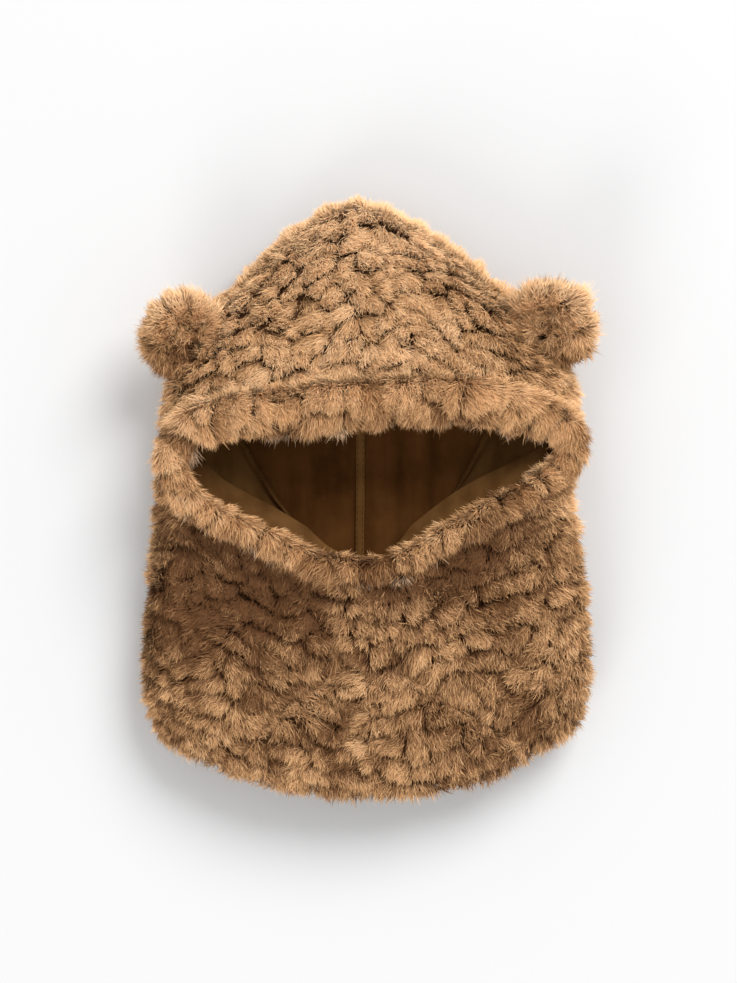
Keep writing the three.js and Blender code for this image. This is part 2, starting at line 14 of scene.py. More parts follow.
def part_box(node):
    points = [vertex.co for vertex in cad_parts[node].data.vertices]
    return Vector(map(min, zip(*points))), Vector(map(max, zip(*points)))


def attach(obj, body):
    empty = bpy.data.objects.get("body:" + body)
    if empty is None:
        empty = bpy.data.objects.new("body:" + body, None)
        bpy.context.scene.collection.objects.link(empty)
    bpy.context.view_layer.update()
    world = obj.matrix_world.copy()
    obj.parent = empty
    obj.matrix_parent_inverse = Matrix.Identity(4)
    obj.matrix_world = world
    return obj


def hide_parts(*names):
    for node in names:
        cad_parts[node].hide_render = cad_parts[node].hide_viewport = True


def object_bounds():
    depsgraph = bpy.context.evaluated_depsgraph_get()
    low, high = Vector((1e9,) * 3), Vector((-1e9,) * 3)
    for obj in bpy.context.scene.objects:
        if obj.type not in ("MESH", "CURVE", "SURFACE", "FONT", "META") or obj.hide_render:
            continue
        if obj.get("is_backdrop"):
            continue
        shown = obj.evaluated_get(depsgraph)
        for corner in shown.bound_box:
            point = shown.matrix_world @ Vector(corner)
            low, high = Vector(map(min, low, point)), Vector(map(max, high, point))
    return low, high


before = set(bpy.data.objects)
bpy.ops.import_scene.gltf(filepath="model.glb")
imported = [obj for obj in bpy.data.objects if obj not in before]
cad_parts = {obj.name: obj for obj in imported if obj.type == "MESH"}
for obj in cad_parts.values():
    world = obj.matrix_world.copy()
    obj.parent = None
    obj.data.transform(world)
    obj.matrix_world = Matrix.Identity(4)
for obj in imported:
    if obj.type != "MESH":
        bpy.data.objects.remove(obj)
cad_low, cad_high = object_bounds()
MM = 0.001
UP = np.array([0.0, 0.0, 1.0])
frame_size = [round(side / MM) for side in cad_high - cad_low]
print("the frame is", frame_size, "mm, with", len(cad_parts), "nodes")

# %% [markdown]
# ## The form that the panels follow
# The body is a flattened tube. Each row of the table is a line across it, from the hem at 0 to the ridge
# at 1, with widths as shares of half the width and lengths as shares of the length. A smooth curve runs
# through each column, so every panel, lining and lock of fur can ask the same form where it lies.

# %% Sizes and the table of rows
body_width = 256
body_length = 342
brow_height = 74
fur_wall = 12
seat_gap = 0.35
lining_wall = 1.5
lining_inset = fur_wall + seat_gap
hollow_inset = lining_inset + lining_wall
half = body_width / 2
across_middle = (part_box("cowl_left")[0].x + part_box("cowl_right")[1].x) / 2 / MM
hem_place = cad_low.y / MM

lie_names = ["at", "seam", "left", "right", "mid", "left_up", "right_up", "bow", "top", "fold"]
lie_rows = np.array([
    [0.00, 0.03, 0.930, 0.955, 0.000, 0.100, 0.120, 2.50, 0.57, 0.27],
    [0.09, 0.03, 0.990, 0.990, 0.085, 0.165, 0.185, 2.30, 0.68, 0.30],
    [0.20, 0.02, 1.000, 1.000, 0.195, 0.265, 0.290, 2.10, 0.75, 0.32],
    [0.31, 0.00, 0.975, 0.965, 0.305, 0.375, 0.415, 1.60, 0.81, 0.34],
    [0.40, -0.03, 0.950, 0.920, 0.400, 0.472, 0.520, 1.20, 0.86, 0.36],
    [0.53, -0.03, 0.940, 0.945, 0.520, 0.545, 0.585, 1.30, 0.94, 0.37],
    [0.66, -0.03, 0.935, 0.955, 0.655, 0.620, 0.645, 1.60, 1.00, 0.37],
    [0.78, -0.04, 0.915, 0.940, 0.790, 0.680, 0.695, 1.70, 0.95, 0.34],
    [0.90, -0.05, 0.885, 0.910, 0.905, 0.730, 0.735, 1.55, 0.78, 0.29],
    [1.00, -0.055, 0.840, 0.870, 1.000, 0.765, 0.770, 1.42, 0.52, 0.25],
])
neck_seam = 0.4
last_row = 1.99
dents = [
    {"from": (-0.66, 0.385), "to": (-0.40, 0.35), "reach": 3 / 16, "depth": 11 / 12},
    {"from": (0.40, 0.37), "to": (0.74, 0.43), "reach": 3 / 16, "depth": 11 / 12},
    {"from": (-0.10, 0.225), "to": (-0.56, 0.095), "reach": 7 / 128, "depth": 1 / 2},
    {"from": (0.17, 0.21), "to": (0.65, 0.10), "reach": 7 / 128, "depth": 1 / 2},
    {"from": (-0.34, 0.80), "to": (-0.24, 0.72), "reach": 3 / 32, "depth": 5 / 12},
    {"from": (0.28, 0.78), "to": (0.50, 0.70), "reach": 3 / 32, "depth": 1 / 3},
]


def smooth_columns(names, rows):
    """A fine lookup of each column of a table, on a smooth curve through its rows."""
    place = rows[:, 0]
    fine = np.linspace(place[0], place[-1], 1201)
    last = len(place) - 1
    before = [max(i - 1, 0) for i in range(last + 1)]
    after = [min(i + 1, last) for i in range(last + 1)]
    i = np.clip(np.searchsorted(place, fine, side="right") - 1, 0, last - 1)
    span = place[i + 1] - place[i]
    share = (fine - place[i]) / span
    rise = share**2 * (3 - 2 * share)
    found = {}
    for name, values in zip(names[1:], rows[:, 1:].T):
        slope = (values[after] - values[before]) / (place[after] - place[before])
        curve = values[i] * (1 - rise) + values[i + 1] * rise
        curve += span * slope[i] * share * (1 - share) ** 2 + span * slope[i + 1] * share**2 * (share - 1)
        found[name] = curve
    return lambda name, at: np.interp(at, fine, found[name])


lie = smooth_columns(lie_names, lie_rows)
print("the rows run from", lie_rows[0, 0], "at the hem to", lie_rows[-1, 0], "at the ridge")

# %% [markdown]
# ## Ask the form for a point
# A section across the tube is rounder at its front and flatter underneath, where it lies on the floor.
# Powers of a sine and a cosine give such a section. Rows past 1 close the crown over the ridge. A dent's
# reach and depth are shares of half the width and of the fur's wall.

# %% The section and its dents
round_front, round_back, round_folds = 2.2, 3.2, 2.6
under_dip = 1.14


def dent_at(x, y):
    deep = np.zeros(np.shape(x))
    for dent in dents:
        x0, y0 = dent["from"][0] * half, dent["from"][1] * body_length
        dx, dy = dent["to"][0] * half - x0, dent["to"][1] * body_length - y0
        held = np.clip(((x - x0) * dx + (y - y0) * dy) / (dx * dx + dy * dy), 0, 1)
        far = np.hypot(x - x0 - held * dx, y - y0 - held * dy)
        deep += dent["depth"] * fur_wall * np.exp(-((far / (dent["reach"] * half)) ** 2))
    return deep


def point_on(sideways, plump, front, row, inset):
    """Sideways is -1 at the left fold and 1 at the right, and plump is how far the section has swelled."""
    at = np.clip(row, 0, 1)
    seam = lie("seam", at) * half
    edge = np.where(sideways < 0, inset - lie("left", at) * half, lie("right", at) * half - inset)
    x = seam + np.abs(sideways) * (edge - seam)
    up = np.where(sideways < 0, lie("left_up", at), lie("right_up", at))
    middle = lie("mid", at)
    bend = np.abs(sideways) ** lie("bow", at)
    y = (middle + (up - middle) * bend) * (body_length - fur_wall)
    top = lie("top", at) * brow_height
    fold = lie("fold", at) * brow_height
    above = fold + (top - inset - fold) * plump - dent_at(x, y) * plump
    below = np.maximum(inset, fold - (under_dip * fold - inset) * plump)
    z = np.where(front, above, below)
    turn = np.clip(row - 1, 0, 1) * math.pi / 2
    y = y + np.maximum(fur_wall - inset, 0) * np.sin(turn)
    z = fold + (z - fold) * np.cos(turn)
    return np.stack([x + across_middle, y + hem_place, z], -1)


def body_point(angle, row, inset):
    """The angle goes round the section: 0 at the right fold, 90 at the front seam, 180 at the left fold."""
    radians = np.radians(angle)
    across, lift = np.cos(radians), np.sin(radians)
    plump = np.abs(lift) ** (2 / np.where(lift >= 0, round_front, round_back))
    sideways = np.sign(across) * np.abs(across) ** (2 / round_folds)
    return point_on(sideways, plump, lift >= 0, row, inset)


def front_over(x, y):
    """The height of the front of the fur over a place in the row frame."""
    low, high = np.zeros(np.shape(x)), np.full(np.shape(x), last_row - 0.01)
    for _ in range(30):
        row = (low + high) / 2
        at = np.clip(row, 0, 1)
        seam = lie("seam", at) * half + across_middle
        left = lie("left", at) * half + lie("seam", at) * half
        right = lie("right", at) * half - lie("seam", at) * half
        sideways = np.clip((x - seam) / np.where(x < seam, left, right), -0.995, 0.995)
        plump = (1 - np.abs(sideways) ** round_folds) ** (1 / round_front)
        point = point_on(sideways, plump, True, row, 0)
        below = point[..., 1] < y
        low, high = np.where(below, row, low), np.where(below, high, row)
    return point[..., 2]


print("the brow stands", round(float(body_point(90.0, 0.66, 0.0)[2]), 1), "mm high")

# %% [markdown]
# ## The line of the trim
# The trim is a roll round the face opening. Its table gives the middle of the roll clockwise from the
# brow, and how wide, thick and deep set it is. The curve through the points is closed, so the roll has no
# beginning or end.

# %% The trim's line
trim_width = 32
trim_thickness = 25
least_core = 0.28
trim_names = ["row", "across", "up", "wide", "thick", "sink"]
trim_rows = np.array([
    [0, -0.030, 0.651, 1.00, 1.00, 0.18],
    [1, 0.300, 0.657, 1.00, 1.00, 0.18],
    [2, 0.620, 0.645, 0.95, 0.98, 0.14],
    [3, 0.840, 0.618, 0.80, 0.90, 0.05],
    [4, 0.895, 0.578, 0.70, 0.84, -0.10],
    [5, 0.800, 0.530, 0.62, 0.76, 0.12],
    [6, 0.480, 0.462, 0.60, 0.74, 0.20],
    [7, 0.140, 0.390, 0.66, 0.74, 0.26],
    [8, -0.160, 0.385, 0.66, 0.74, 0.26],
    [9, -0.460, 0.432, 0.58, 0.74, 0.20],
    [10, -0.745, 0.489, 0.62, 0.78, 0.10],
    [11, -0.845, 0.552, 0.74, 0.86, -0.08],
    [12, -0.745, 0.613, 0.86, 0.94, 0.08],
    [13, -0.400, 0.638, 0.98, 1.00, 0.18],
])
trim_count = len(trim_rows)
trim_table = smooth_columns(trim_names, np.vstack([trim_rows, [trim_count, *trim_rows[0, 1:]]]))
trim_marks = trim_rows[:, 1:3] * [half, body_length]


def trim_middle(share):
    """The middle of the roll, on a closed curve that is knotted by the distances between the marks."""
    place = np.asarray(share, float) % 1 * trim_count
    first = np.floor(place).astype(int)
    weight = (place - first)[..., None]
    marks = [trim_marks[(first + step) % trim_count] for step in (-1, 0, 1, 2)]
    knots = [np.sqrt(np.linalg.norm(b - a, axis=-1))[..., None] for a, b in zip(marks, marks[1:])]
    spans = [(b - a) / knot for a, b, knot in zip(marks, marks[1:], knots)]
    leave = spans[0] - (marks[2] - marks[0]) / (knots[0] + knots[1]) + spans[1]
    arrive = spans[1] - (marks[3] - marks[1]) / (knots[1] + knots[2]) + spans[2]
    leave, arrive = leave * knots[1], arrive * knots[1]
    bend = -2 * marks[2] + 2 * marks[1] + leave + arrive
    swing = 3 * marks[2] - 3 * marks[1] - 2 * leave - arrive
    return ((bend * weight + swing) * weight + leave) * weight + marks[1] + [across_middle, hem_place]


def trim_at(share):
    """The middle of the roll, the way out of the opening from it, and how wide and thick it is."""
    share = np.asarray(share, float) % 1
    flat = trim_middle(share)
    ahead = trim_middle(share + 0.001) - trim_middle(share - 0.001)
    outward = np.stack([-ahead[..., 1], ahead[..., 0], np.zeros(share.shape)], -1)
    outward /= np.linalg.norm(outward, axis=-1, keepdims=True)
    place = share * trim_count
    thick = trim_table("thick", place) * trim_thickness
    z = front_over(flat[..., 0], flat[..., 1]) - trim_table("sink", place) * trim_thickness
    return np.concatenate([flat, z[..., None]], -1), outward, trim_table("wide", place) * trim_width, thick


def trim_roll(share, turn, depth):
    """A point of the roll at a depth under its outer form. Turn 0 is its outer side and 90 its top."""
    middle, outward, wide, thick = trim_at(share)
    across = np.maximum(wide / 2 - depth, least_core * wide / 2) * np.cos(np.radians(turn))
    lift = np.maximum(thick / 2 - depth, least_core * thick / 2) * np.sin(np.radians(turn))
    return middle + outward * across[..., None] + UP * lift[..., None]


cut_height = 0.54 * brow_height
opening_line = trim_middle(np.linspace(0, 1, 120, endpoint=False))


def inside_opening(x, y):
    """Whether a place lies inside the trim's middle line."""
    inside = np.zeros(np.shape(x), bool)
    ends = np.roll(opening_line, -1, axis=0)
    for (x0, y0), (x1, y1) in zip(opening_line, ends):
        crosses = (y0 > y) != (y1 > y)
        inside ^= crosses & (x < (x1 - x0) * (y - y0) / (y1 - y0 + 1e-12) + x0)
    return inside


print("the opening is", np.round(np.ptp(opening_line, axis=0)), "mm")

# %% [markdown]
# ## Materials
# The pile is light at its tips and dark at its roots, partly in the fur's own colour and partly as painted
# shadow deep in the pile, and no two locks have quite the same tint. Each hair carries a small map: how far
# along it a point lies, and its tint, which holds painted light and painted shadow along with the hair's own
# tone. One shared group turns these into colour, and another brushes the velour of the lining in soft
# patches.

# %% Short ways to build a shader tree
def set_sockets(node, values):
    for socket, value in values.items():
        node.inputs[socket].default_value = value


def add(tree, kind, values=None, **settings):
    """Adds a node with its settings, and then with the values of its sockets."""
    node = tree.nodes.new("ShaderNode" + kind)
    for setting, value in settings.items():
        setattr(node, setting, value)
    set_sockets(node, values or {})
    return node


def wire(tree, *ways):
    """Links sockets. Each way names a node and its output, and then a node and its input."""
    for start, output, end, taker in ways:
        tree.links.new(start.outputs[output], end.inputs[taker])


def make_group(name, inputs, outputs):
    """A node group with its two end nodes. Its sockets are named with their kinds."""
    group = bpy.data.node_groups.new(name, "ShaderNodeTree")
    for way, sockets in (("INPUT", inputs), ("OUTPUT", outputs)):
        for label, kind in sockets.items():
            group.interface.new_socket(label, in_out=way, socket_type="NodeSocket" + kind)
    return group, group.nodes.new("NodeGroupInput"), group.nodes.new("NodeGroupOutput")


# %% The group for the pile's colour
# The Tint input holds each hair's own tone together with its painted light and painted shadow; the ramp turns
# it into the colour that the pile is multiplied by.
tone_and_light_stops = [(0.0, (0.2, 0.125, 0.08, 1)), (0.5, (0.93, 0.805, 0.66, 1)), (1.0, (1.25, 1.24, 1.22, 1))]
pile_takes = {"Along": "Float", "Tint": "Float", "Root": "Color", "Middle": "Color", "Tip": "Color"}
pile_gives = {"Colour": "Color", "Roughness": "Float"}
pile_group, taken, given = make_group("pile colour", pile_takes, pile_gives)
lower = add(pile_group, "MapRange", {"From Min": 0.0, "From Max": 0.45})
upper = add(pile_group, "MapRange", {"From Min": 0.5, "From Max": 0.95})
rough = add(pile_group, "MapRange", {"To Min": 0.85, "To Max": 0.55})
root_mix = add(pile_group, "Mix", data_type="RGBA")
tip_mix = add(pile_group, "Mix", data_type="RGBA")
tone_and_light_mix = add(pile_group, "Mix", {"Factor": 1.0}, data_type="RGBA", blend_type="MULTIPLY")
tone_and_light_ramp = add(pile_group, "ValToRGB")
tone_and_light_ramp.color_ramp.elements.new(tone_and_light_stops[1][0])
for element, (place, colour) in zip(tone_and_light_ramp.color_ramp.elements, tone_and_light_stops):
    element.position, element.color = place, colour
wire(
    pile_group,
    (taken, "Along", lower, "Value"), (taken, "Along", upper, "Value"),
    (taken, "Along", rough, "Value"), (taken, "Tint", tone_and_light_ramp, "Fac"), (taken, "Root", root_mix, "A"),
    (taken, "Middle", root_mix, "B"), (taken, "Tip", tip_mix, "B"),
    (lower, "Result", root_mix, "Factor"), (upper, "Result", tip_mix, "Factor"),
    (root_mix, "Result", tip_mix, "A"), (tip_mix, "Result", tone_and_light_mix, "A"),
    (tone_and_light_ramp, "Color", tone_and_light_mix, "B"), (tone_and_light_mix, "Result", given, "Colour"),
    (rough, "Result", given, "Roughness"),
)
print("the pile's group has", len(pile_group.nodes), "nodes")

# %% The group for brushed velour
velour_takes = {"Vector": "Vector", "Dark": "Color", "Light": "Color", "Nap Size": "Float"}
velour_gives = {"Colour": "Color", "Roughness": "Float", "Height": "Float"}
velour_group, taken, given = make_group("brushed velour", velour_takes, velour_gives)
patches = add(velour_group, "TexNoise", {"Scale": 38.0, "Detail": 4.0})
streaks = add(velour_group, "TexNoise", {"Scale": 1.0, "Detail": 3.0})
nap = add(velour_group, "TexNoise", {"Detail": 2.0})
stretch = add(velour_group, "Mapping", {"Scale": (75.0, 14.0, 75.0)})
patch_share = add(velour_group, "Math", {1: 0.6}, operation="MULTIPLY")
with_streaks = add(velour_group, "Math", {1: 0.5}, operation="MULTIPLY_ADD")
with_nap = add(velour_group, "Math", {1: 0.12}, operation="MULTIPLY_ADD")
spread = add(velour_group, "MapRange", {"From Min": 0.42, "From Max": 0.82})
two_tones = add(velour_group, "Mix", data_type="RGBA")
velour_rough = add(velour_group, "MapRange", {"To Min": 0.9, "To Max": 0.62})
wire(
    velour_group,
    (taken, "Vector", patches, "Vector"), (taken, "Vector", nap, "Vector"),
    (taken, "Vector", stretch, "Vector"), (taken, "Nap Size", nap, "Scale"),
    (taken, "Dark", two_tones, "A"), (taken, "Light", two_tones, "B"),
    (stretch, "Vector", streaks, "Vector"), (patches, "Fac", patch_share, 0),
    (streaks, "Fac", with_streaks, 0), (patch_share, 0, with_streaks, 2), (nap, "Fac", with_nap, 0),
    (with_streaks, 0, with_nap, 2), (with_nap, 0, spread, "Value"),
    (spread, "Result", two_tones, "Factor"), (spread, "Result", velour_rough, "Value"),
    (two_tones, "Result", given, "Colour"), (velour_rough, "Result", given, "Roughness"),
    (nap, "Fac", given, "Height"),
)
print("the velour's group has", len(velour_group.nodes), "nodes")

# %% [markdown]
# ## The fur and velour materials
# The three furs differ a little at their tips. Light shines through a thin hair, so its back isn't as dark
# as a solid's: that light is painted as a straw colour on the back, mixed in by a Backfacing node in the
# material itself.
# The velours differ in tone, and the backing has a coarser nap and no sheen.

# %% Make the materials
# The dark root colour is partly the fur's own and partly painted shadow deep in the pile.
hair_root = (0.115, 0.06, 0.033, 1)
hair_middle = (0.385, 0.232, 0.128, 1)
# Painted light: the straw colour stands for light shining through the back of a thin hair.
shine_through_straw = (0.8, 0.63, 0.46, 1)
shine_through_share = 0.5


def new_material(name):
    material = bpy.data.materials.new(name)
    material.use_nodes = True
    return material, material.node_tree, material.node_tree.nodes["Principled BSDF"]


def pile_material(name, tip):
    material, tree, shader = new_material(name)
    chart = add(tree, "UVMap", uv_map="OFBake")
    apart = add(tree, "SeparateXYZ")
    colours = {"Root": hair_root, "Middle": hair_middle, "Tip": (*tip, 1)}
    pile = add(tree, "Group", colours, node_tree=pile_group)
    side = add(tree, "NewGeometry")
    share = add(tree, "Math", {1: shine_through_share}, operation="MULTIPLY")
    painted_shine_through = add(tree, "Mix", {"B": shine_through_straw}, data_type="RGBA")
    wire(
        tree,
        (chart, "UV", apart, "Vector"), (apart, "X", pile, "Tint"), (apart, "Y", pile, "Along"),
        (side, "Backfacing", share, 0), (share, 0, painted_shine_through, "Factor"), (pile, "Colour", painted_shine_through, "A"),
        (painted_shine_through, "Result", shader, "Base Color"), (pile, "Roughness", shader, "Roughness"),
    )
    set_sockets(shader, {"Specular IOR Level": 0.12})
    return material


def velour_material(name, dark, light, nap_size=2500.0, sheen=0.05):
    material, tree, shader = new_material(name)
    place = add(tree, "TexCoord")
    tones = {"Dark": (*dark, 1), "Light": (*light, 1), "Nap Size": nap_size}
    velour = add(tree, "Group", tones, node_tree=velour_group)
    bump = add(tree, "Bump", {"Strength": 0.35, "Distance": 0.0006})
    wire(
        tree,
        (place, "Object", velour, "Vector"), (velour, "Colour", shader, "Base Color"),
        (velour, "Roughness", shader, "Roughness"), (velour, "Height", bump, "Height"),
        (bump, "Normal", shader, "Normal"),
    )
    set_sockets(shader, {"Sheen Weight": sheen, "Sheen Roughness": 0.4, "Sheen Tint": (0.9, 0.5, 0.2, 1)})
    set_sockets(shader, {"Specular IOR Level": 0.08})
    return material


body_fur = pile_material("body fur", (0.95, 0.63, 0.35))
trim_fur = pile_material("trim fur", (0.92, 0.6, 0.33))
ear_fur = pile_material("ear fur", (0.95, 0.63, 0.35))
backing_cloth = velour_material("knitted backing", (0.04, 0.016, 0.006), (0.14, 0.065, 0.028), 900.0, 0.0)
lining_velour = velour_material("lining velour", (0.046, 0.0142, 0.002), (0.14, 0.054, 0.011))
side_velour = velour_material("side panel velour", (0.055, 0.02, 0.0035), (0.17, 0.08, 0.022))
facing_velour = velour_material("facing velour", (0.065, 0.026, 0.006), (0.165, 0.08, 0.024))
tape_velour = velour_material("tape velour", (0.1, 0.042, 0.009), (0.25, 0.12, 0.035))
print("materials:", [material.name for material in bpy.data.materials])

# %% [markdown]
# ## Sheets of cloth
# Each panel starts as a flat grid, whose points are then laid on the form. The faces inside the face opening
# are cut away, and a Solidify modifier thickens the cloth inwards. A simulation could drape it too, but the
# pile has to follow the form closely.

# %% Lay a sheet of cloth
crease_angle = 50
least_area_share = 0.31


def select_only(piece):
    bpy.ops.object.select_all(action="DESELECT")
    piece.select_set(True)
    bpy.context.view_layer.objects.active = piece


def cloth_sheet(name, points, material, thickness, cut_opening=False, turned=False):
    """A cloth on rows of points in millimetres. Seen from outside, its columns run right and its rows run up,
    or its columns run left if it is turned."""
    rows, columns = points.shape[:2]
    bpy.ops.mesh.primitive_grid_add(x_subdivisions=columns - 1, y_subdivisions=rows - 1, size=1)
    piece = bpy.context.object
    piece.name = piece.data.name = name
    piece.data.vertices.foreach_set("co", (points * MM).ravel())
    piece.data.update()
    select_only(piece)
    bpy.ops.object.mode_set(mode="EDIT")
    bpy.ops.mesh.select_all(action="SELECT")
    if turned:
        bpy.ops.mesh.flip_normals()
    if cut_opening:
        bpy.ops.mesh.select_all(action="DESELECT")
        bpy.ops.object.mode_set(mode="OBJECT")
        centres = np.array([face.center for face in piece.data.polygons]) / MM
        cut = inside_opening(centres[:, 0], centres[:, 1]) & (centres[:, 2] > cut_height)
        piece.data.polygons.foreach_set("select", cut)
        bpy.ops.object.mode_set(mode="EDIT")
        bpy.ops.mesh.delete(type="FACE")
    bpy.ops.object.mode_set(mode="OBJECT")
    solid = piece.modifiers.new("thickness", "SOLIDIFY")
    solid.thickness = thickness * MM
    solid.offset = -1
    solid.use_even_offset = False
    bpy.ops.object.modifier_apply(modifier=solid.name)
    bpy.ops.object.shade_smooth_by_angle(angle=math.radians(crease_angle))
    piece.data.materials.append(material)
    return piece


def lengths_along(points, axis=0):
    """How long each line of points is."""
    return np.linalg.norm(np.diff(points, axis=axis), axis=-1).sum(axis)


def places_along(line):
    """How far along a line each of its points lies."""
    return np.concatenate([[0], np.cumsum(np.linalg.norm(np.diff(line, axis=0), axis=1))])


def lay(piece, points, rests_on=()):
    """Says how big a cloth was cut: its longest row by its longest column, and its area."""
    width = max(lengths_along(points, 1)) * MM
    length = max(lengths_along(points, 0)) * MM
    area = sum(face.area for face in piece.data.polygons) / 2
    area = min(max(area, least_area_share * width * length), width * length)
    flat, rests_on = (width, length), list(rests_on)
    print(f"{piece.name}: cut {width / MM:.0f} by {length / MM:.0f} mm, {area * 1e4:.0f} square cm")


def side_angles(side, count):
    """Angles from the front seam round one side to the back seam, evenly spaced along the section."""
    fine = np.linspace(90, 270, 721)
    length = places_along(body_point(fine, neck_seam / 2, 0))
    angles = np.interp(np.linspace(0, length[-1], count), length, fine)
    return angles if side == "left" else 180 - angles


def panel_grid(side, low, high, rows, columns, inset):
    """Rows of points of half a panel, from the front seam to the back seam."""
    place = np.linspace(low, high, rows)
    grid = body_point(side_angles(side, columns)[None, :], place[:, None], inset)
    grid[..., 0] += (-0.5 if side == "left" else 0.5) * seat_gap
    return grid


across_cowl = panel_grid("left", 0.2, 0.21, 2, 80, 0)[0]
print("a panel is", round(float(lengths_along(across_cowl))), "mm from seam to seam")

# %% [markdown]
# ## How fur is made
# The pile grows in locks, so each root belongs to the nearest of a jittered net of lock centres, laid in
# rows: its tip is drawn to its lock's middle and down the nap, and the hairs at a lock's edge stay lower,
# which leaves clefts that painted shadow darkens further. Blender's own hair is easier to comb, but this
# pile is built as a mesh.

# %% Soft noise and the net of locks
wave_count, wave_sum = 7, 2.6
net_size = 64
least_reach = 2.0


def soft_noise(points, size, seed):
    """A smooth value, mostly between -1 and 1, which changes over about that many millimetres."""
    dice = np.random.default_rng(seed)
    total = np.zeros(points.shape[:-1])
    for _ in range(wave_count):
        way = dice.normal(size=3)
        way *= 2 * math.pi / size * dice.uniform(0.5, 1.1) / np.linalg.norm(way)
        total += np.cos(points @ way + dice.uniform(0, 2 * math.pi))
    return total / wave_sum


def climb(value, start, slope):
    """0 up to a start, and from there up to 1 at a slope."""
    return np.clip((value - start) * slope, 0, 1)


def wavy_locks(spots, over, down, look, seed):
    """Locks in wavy rows. Each root belongs to the nearest middle of a net, and is drawn to its lower end."""
    root, facing = spots["root"], spots["normal"][:, 2]
    dice = np.random.default_rng(seed + 50).random((net_size, net_size, 5))
    waver = look["waver"] * (soft_noise(root, 42, seed + 1) + 0.4 * soft_noise(root, 15, seed + 6))
    down = (down + waver) / look["row"]
    over = (over + look["weave"] * soft_noise(root, 22, seed + 5)) / look["lock"]
    row, column = np.floor(down).astype(int), np.floor(over).astype(int)
    best, second = np.full(row.shape, 1e9), np.full(row.shape, 1e9)
    to_over, to_down, luck = np.zeros(row.shape), np.zeros(row.shape), np.zeros((*row.shape, 3))
    for lower in (-1, 0, 1):
        for beside in (-1, 0, 1):
            i, j = row + lower, column + beside
            roll = dice[i % net_size, j % net_size]
            away_over = j + 0.25 + 0.5 * (i % 2) + 0.9 * (roll[..., 0] - 0.5) - over
            away_down = i + 0.5 + look["jitter"] * (roll[..., 1] - 0.5) - down
            far = np.hypot(away_over, away_down)
            nearer = far < best
            second = np.where(nearer, best, np.minimum(second, far))
            best = np.where(nearer, far, best)
            to_over, to_down = np.where(nearer, away_over, to_over), np.where(nearer, away_down, to_down)
            luck = np.where(nearer[..., None], roll[..., 2:], luck)
    edge = np.clip((second - best) / 0.7, 0, 1)
    dome = np.exp(-((best / 0.52) ** 2))
    tuft = look["tuft"](root)
    part = np.clip(0.5 - to_down, 0, 1)
    low = look["low"] + 0.16 * (1 - tuft)
    hold = spots["dice"].random(len(root)) ** 0.5
    sunk = np.where(luck[:, 2] < 0.15, 0.2 * tuft, 0)
    ragged = (1 - (0.16 + 0.26 * tuft) * (1 - dome)) * (0.86 + 0.26 * luck[:, 2])
    lift = (low + (1 - low) * part) * ragged - sunk + 0.22 * np.clip(0.6 - facing, 0, 0.6)
    reach = (0.6 + to_down + 0.3 * (luck[:, 1] - 0.5)) * look["row"] * 0.8 * hold
    # Painted shadow on the upper part of each lock under the row above, in the clefts and on sunk locks; luck
    # gives each lock its own random tone.
    tone_and_painted_light = 0.16 * (part - 0.5) + 0.26 * (edge - 0.6) + 0.24 * (luck[:, 2] - 0.5) - 0.5 * sunk
    sideways = to_over * look["lock"]
    puff = spots["along"] * (to_down * look["row"])[:, None] - spots["over"] * sideways[:, None]
    return {
        "reach": np.maximum(reach, 0) + least_reach,
        "lift": lift,
        "gather": spots["over"] * (sideways * (0.14 + 0.24 * tuft) * hold)[:, None],
        "puff": puff / 8,
        "luck": luck,
        # Painted light: where the pile turns steeply, over the edges, its roots take the tips' pale colour.
        "pale": np.clip(0.8 - facing, 0, 0.6),
        "tone_and_painted_light": tone_and_painted_light + look["tone_and_painted_light"](spots),
    }


sample = np.random.default_rng(1).random((4000, 3)) * 200
print("soft noise runs from", np.round(np.percentile(soft_noise(sample, 30, 2), [2, 98]), 2))

# %% [markdown]
# ## Where the hairs stand
# Hairs stand evenly on a real backing, so a cell of the grid gets roots by its area. A density thins them
# under the hood, where nobody looks, and keeps them out of the face opening.

# %% Scatter roots over a grid
def unit(vectors):
    return vectors / np.maximum(np.linalg.norm(vectors, axis=-1, keepdims=True), 1e-9)


def scatter(grid, count, seed, density=1):
    """Roots spread evenly over a grid of points, with the surface's normal, its two ways, and its places."""
    dice = np.random.default_rng(seed)
    a, b, c, d = grid[:-1, :-1], grid[:-1, 1:], grid[1:, 1:], grid[1:, :-1]
    area = np.linalg.norm(np.cross(c - a, d - b), axis=-1) / 2
    chance = np.cumsum((area * density).ravel())
    cell = np.searchsorted(chance, dice.random(count) * chance[-1])
    i, k = np.unravel_index(np.minimum(cell, area.size - 1), area.shape)
    s, t = dice.random((2, count, 1))

    def mixed(field):
        low = field[i, k] * (1 - s) + field[i, k + 1] * s
        high = field[i + 1, k] * (1 - s) + field[i + 1, k + 1] * s
        return low * (1 - t) + high * t

    over = np.gradient(grid, axis=1)
    along = np.gradient(grid, axis=0)
    steps_over = np.linalg.norm(np.diff(grid, axis=1), axis=-1)
    u = np.concatenate([np.zeros((len(grid), 1)), np.cumsum(steps_over, axis=1)], axis=1)
    rows = np.arange(len(grid), dtype=float)[:, None] + np.zeros(grid.shape[:2])
    return {
        "root": mixed(grid),
        "normal": unit(mixed(unit(np.cross(over, along)))),
        "over": unit(mixed(unit(over))),
        "along": unit(mixed(unit(along))),
        "u": mixed(u[..., None])[:, 0],
        "row": mixed(rows[..., None])[:, 0],
        "dice": dice,
    }


print("the pile keeps", unit(np.array([3.0, 0.0, 4.0])), "as a way of length one")

# %% [markdown]
# ## Turn hairs into ribbons
# Tubes for so many hairs would be far too many faces, so each hair is a kite of two triangles, widest and
# bent a little above its middle. Its normals follow the round form of its lock, so that a lock is lit as
# one soft thing and not as many flat ribbons.

# %% Make the ribbons and grow the pile
floor_gap = 0.3
tint_spread = 0.012
bend_place = 0.6
form_share = 0.62


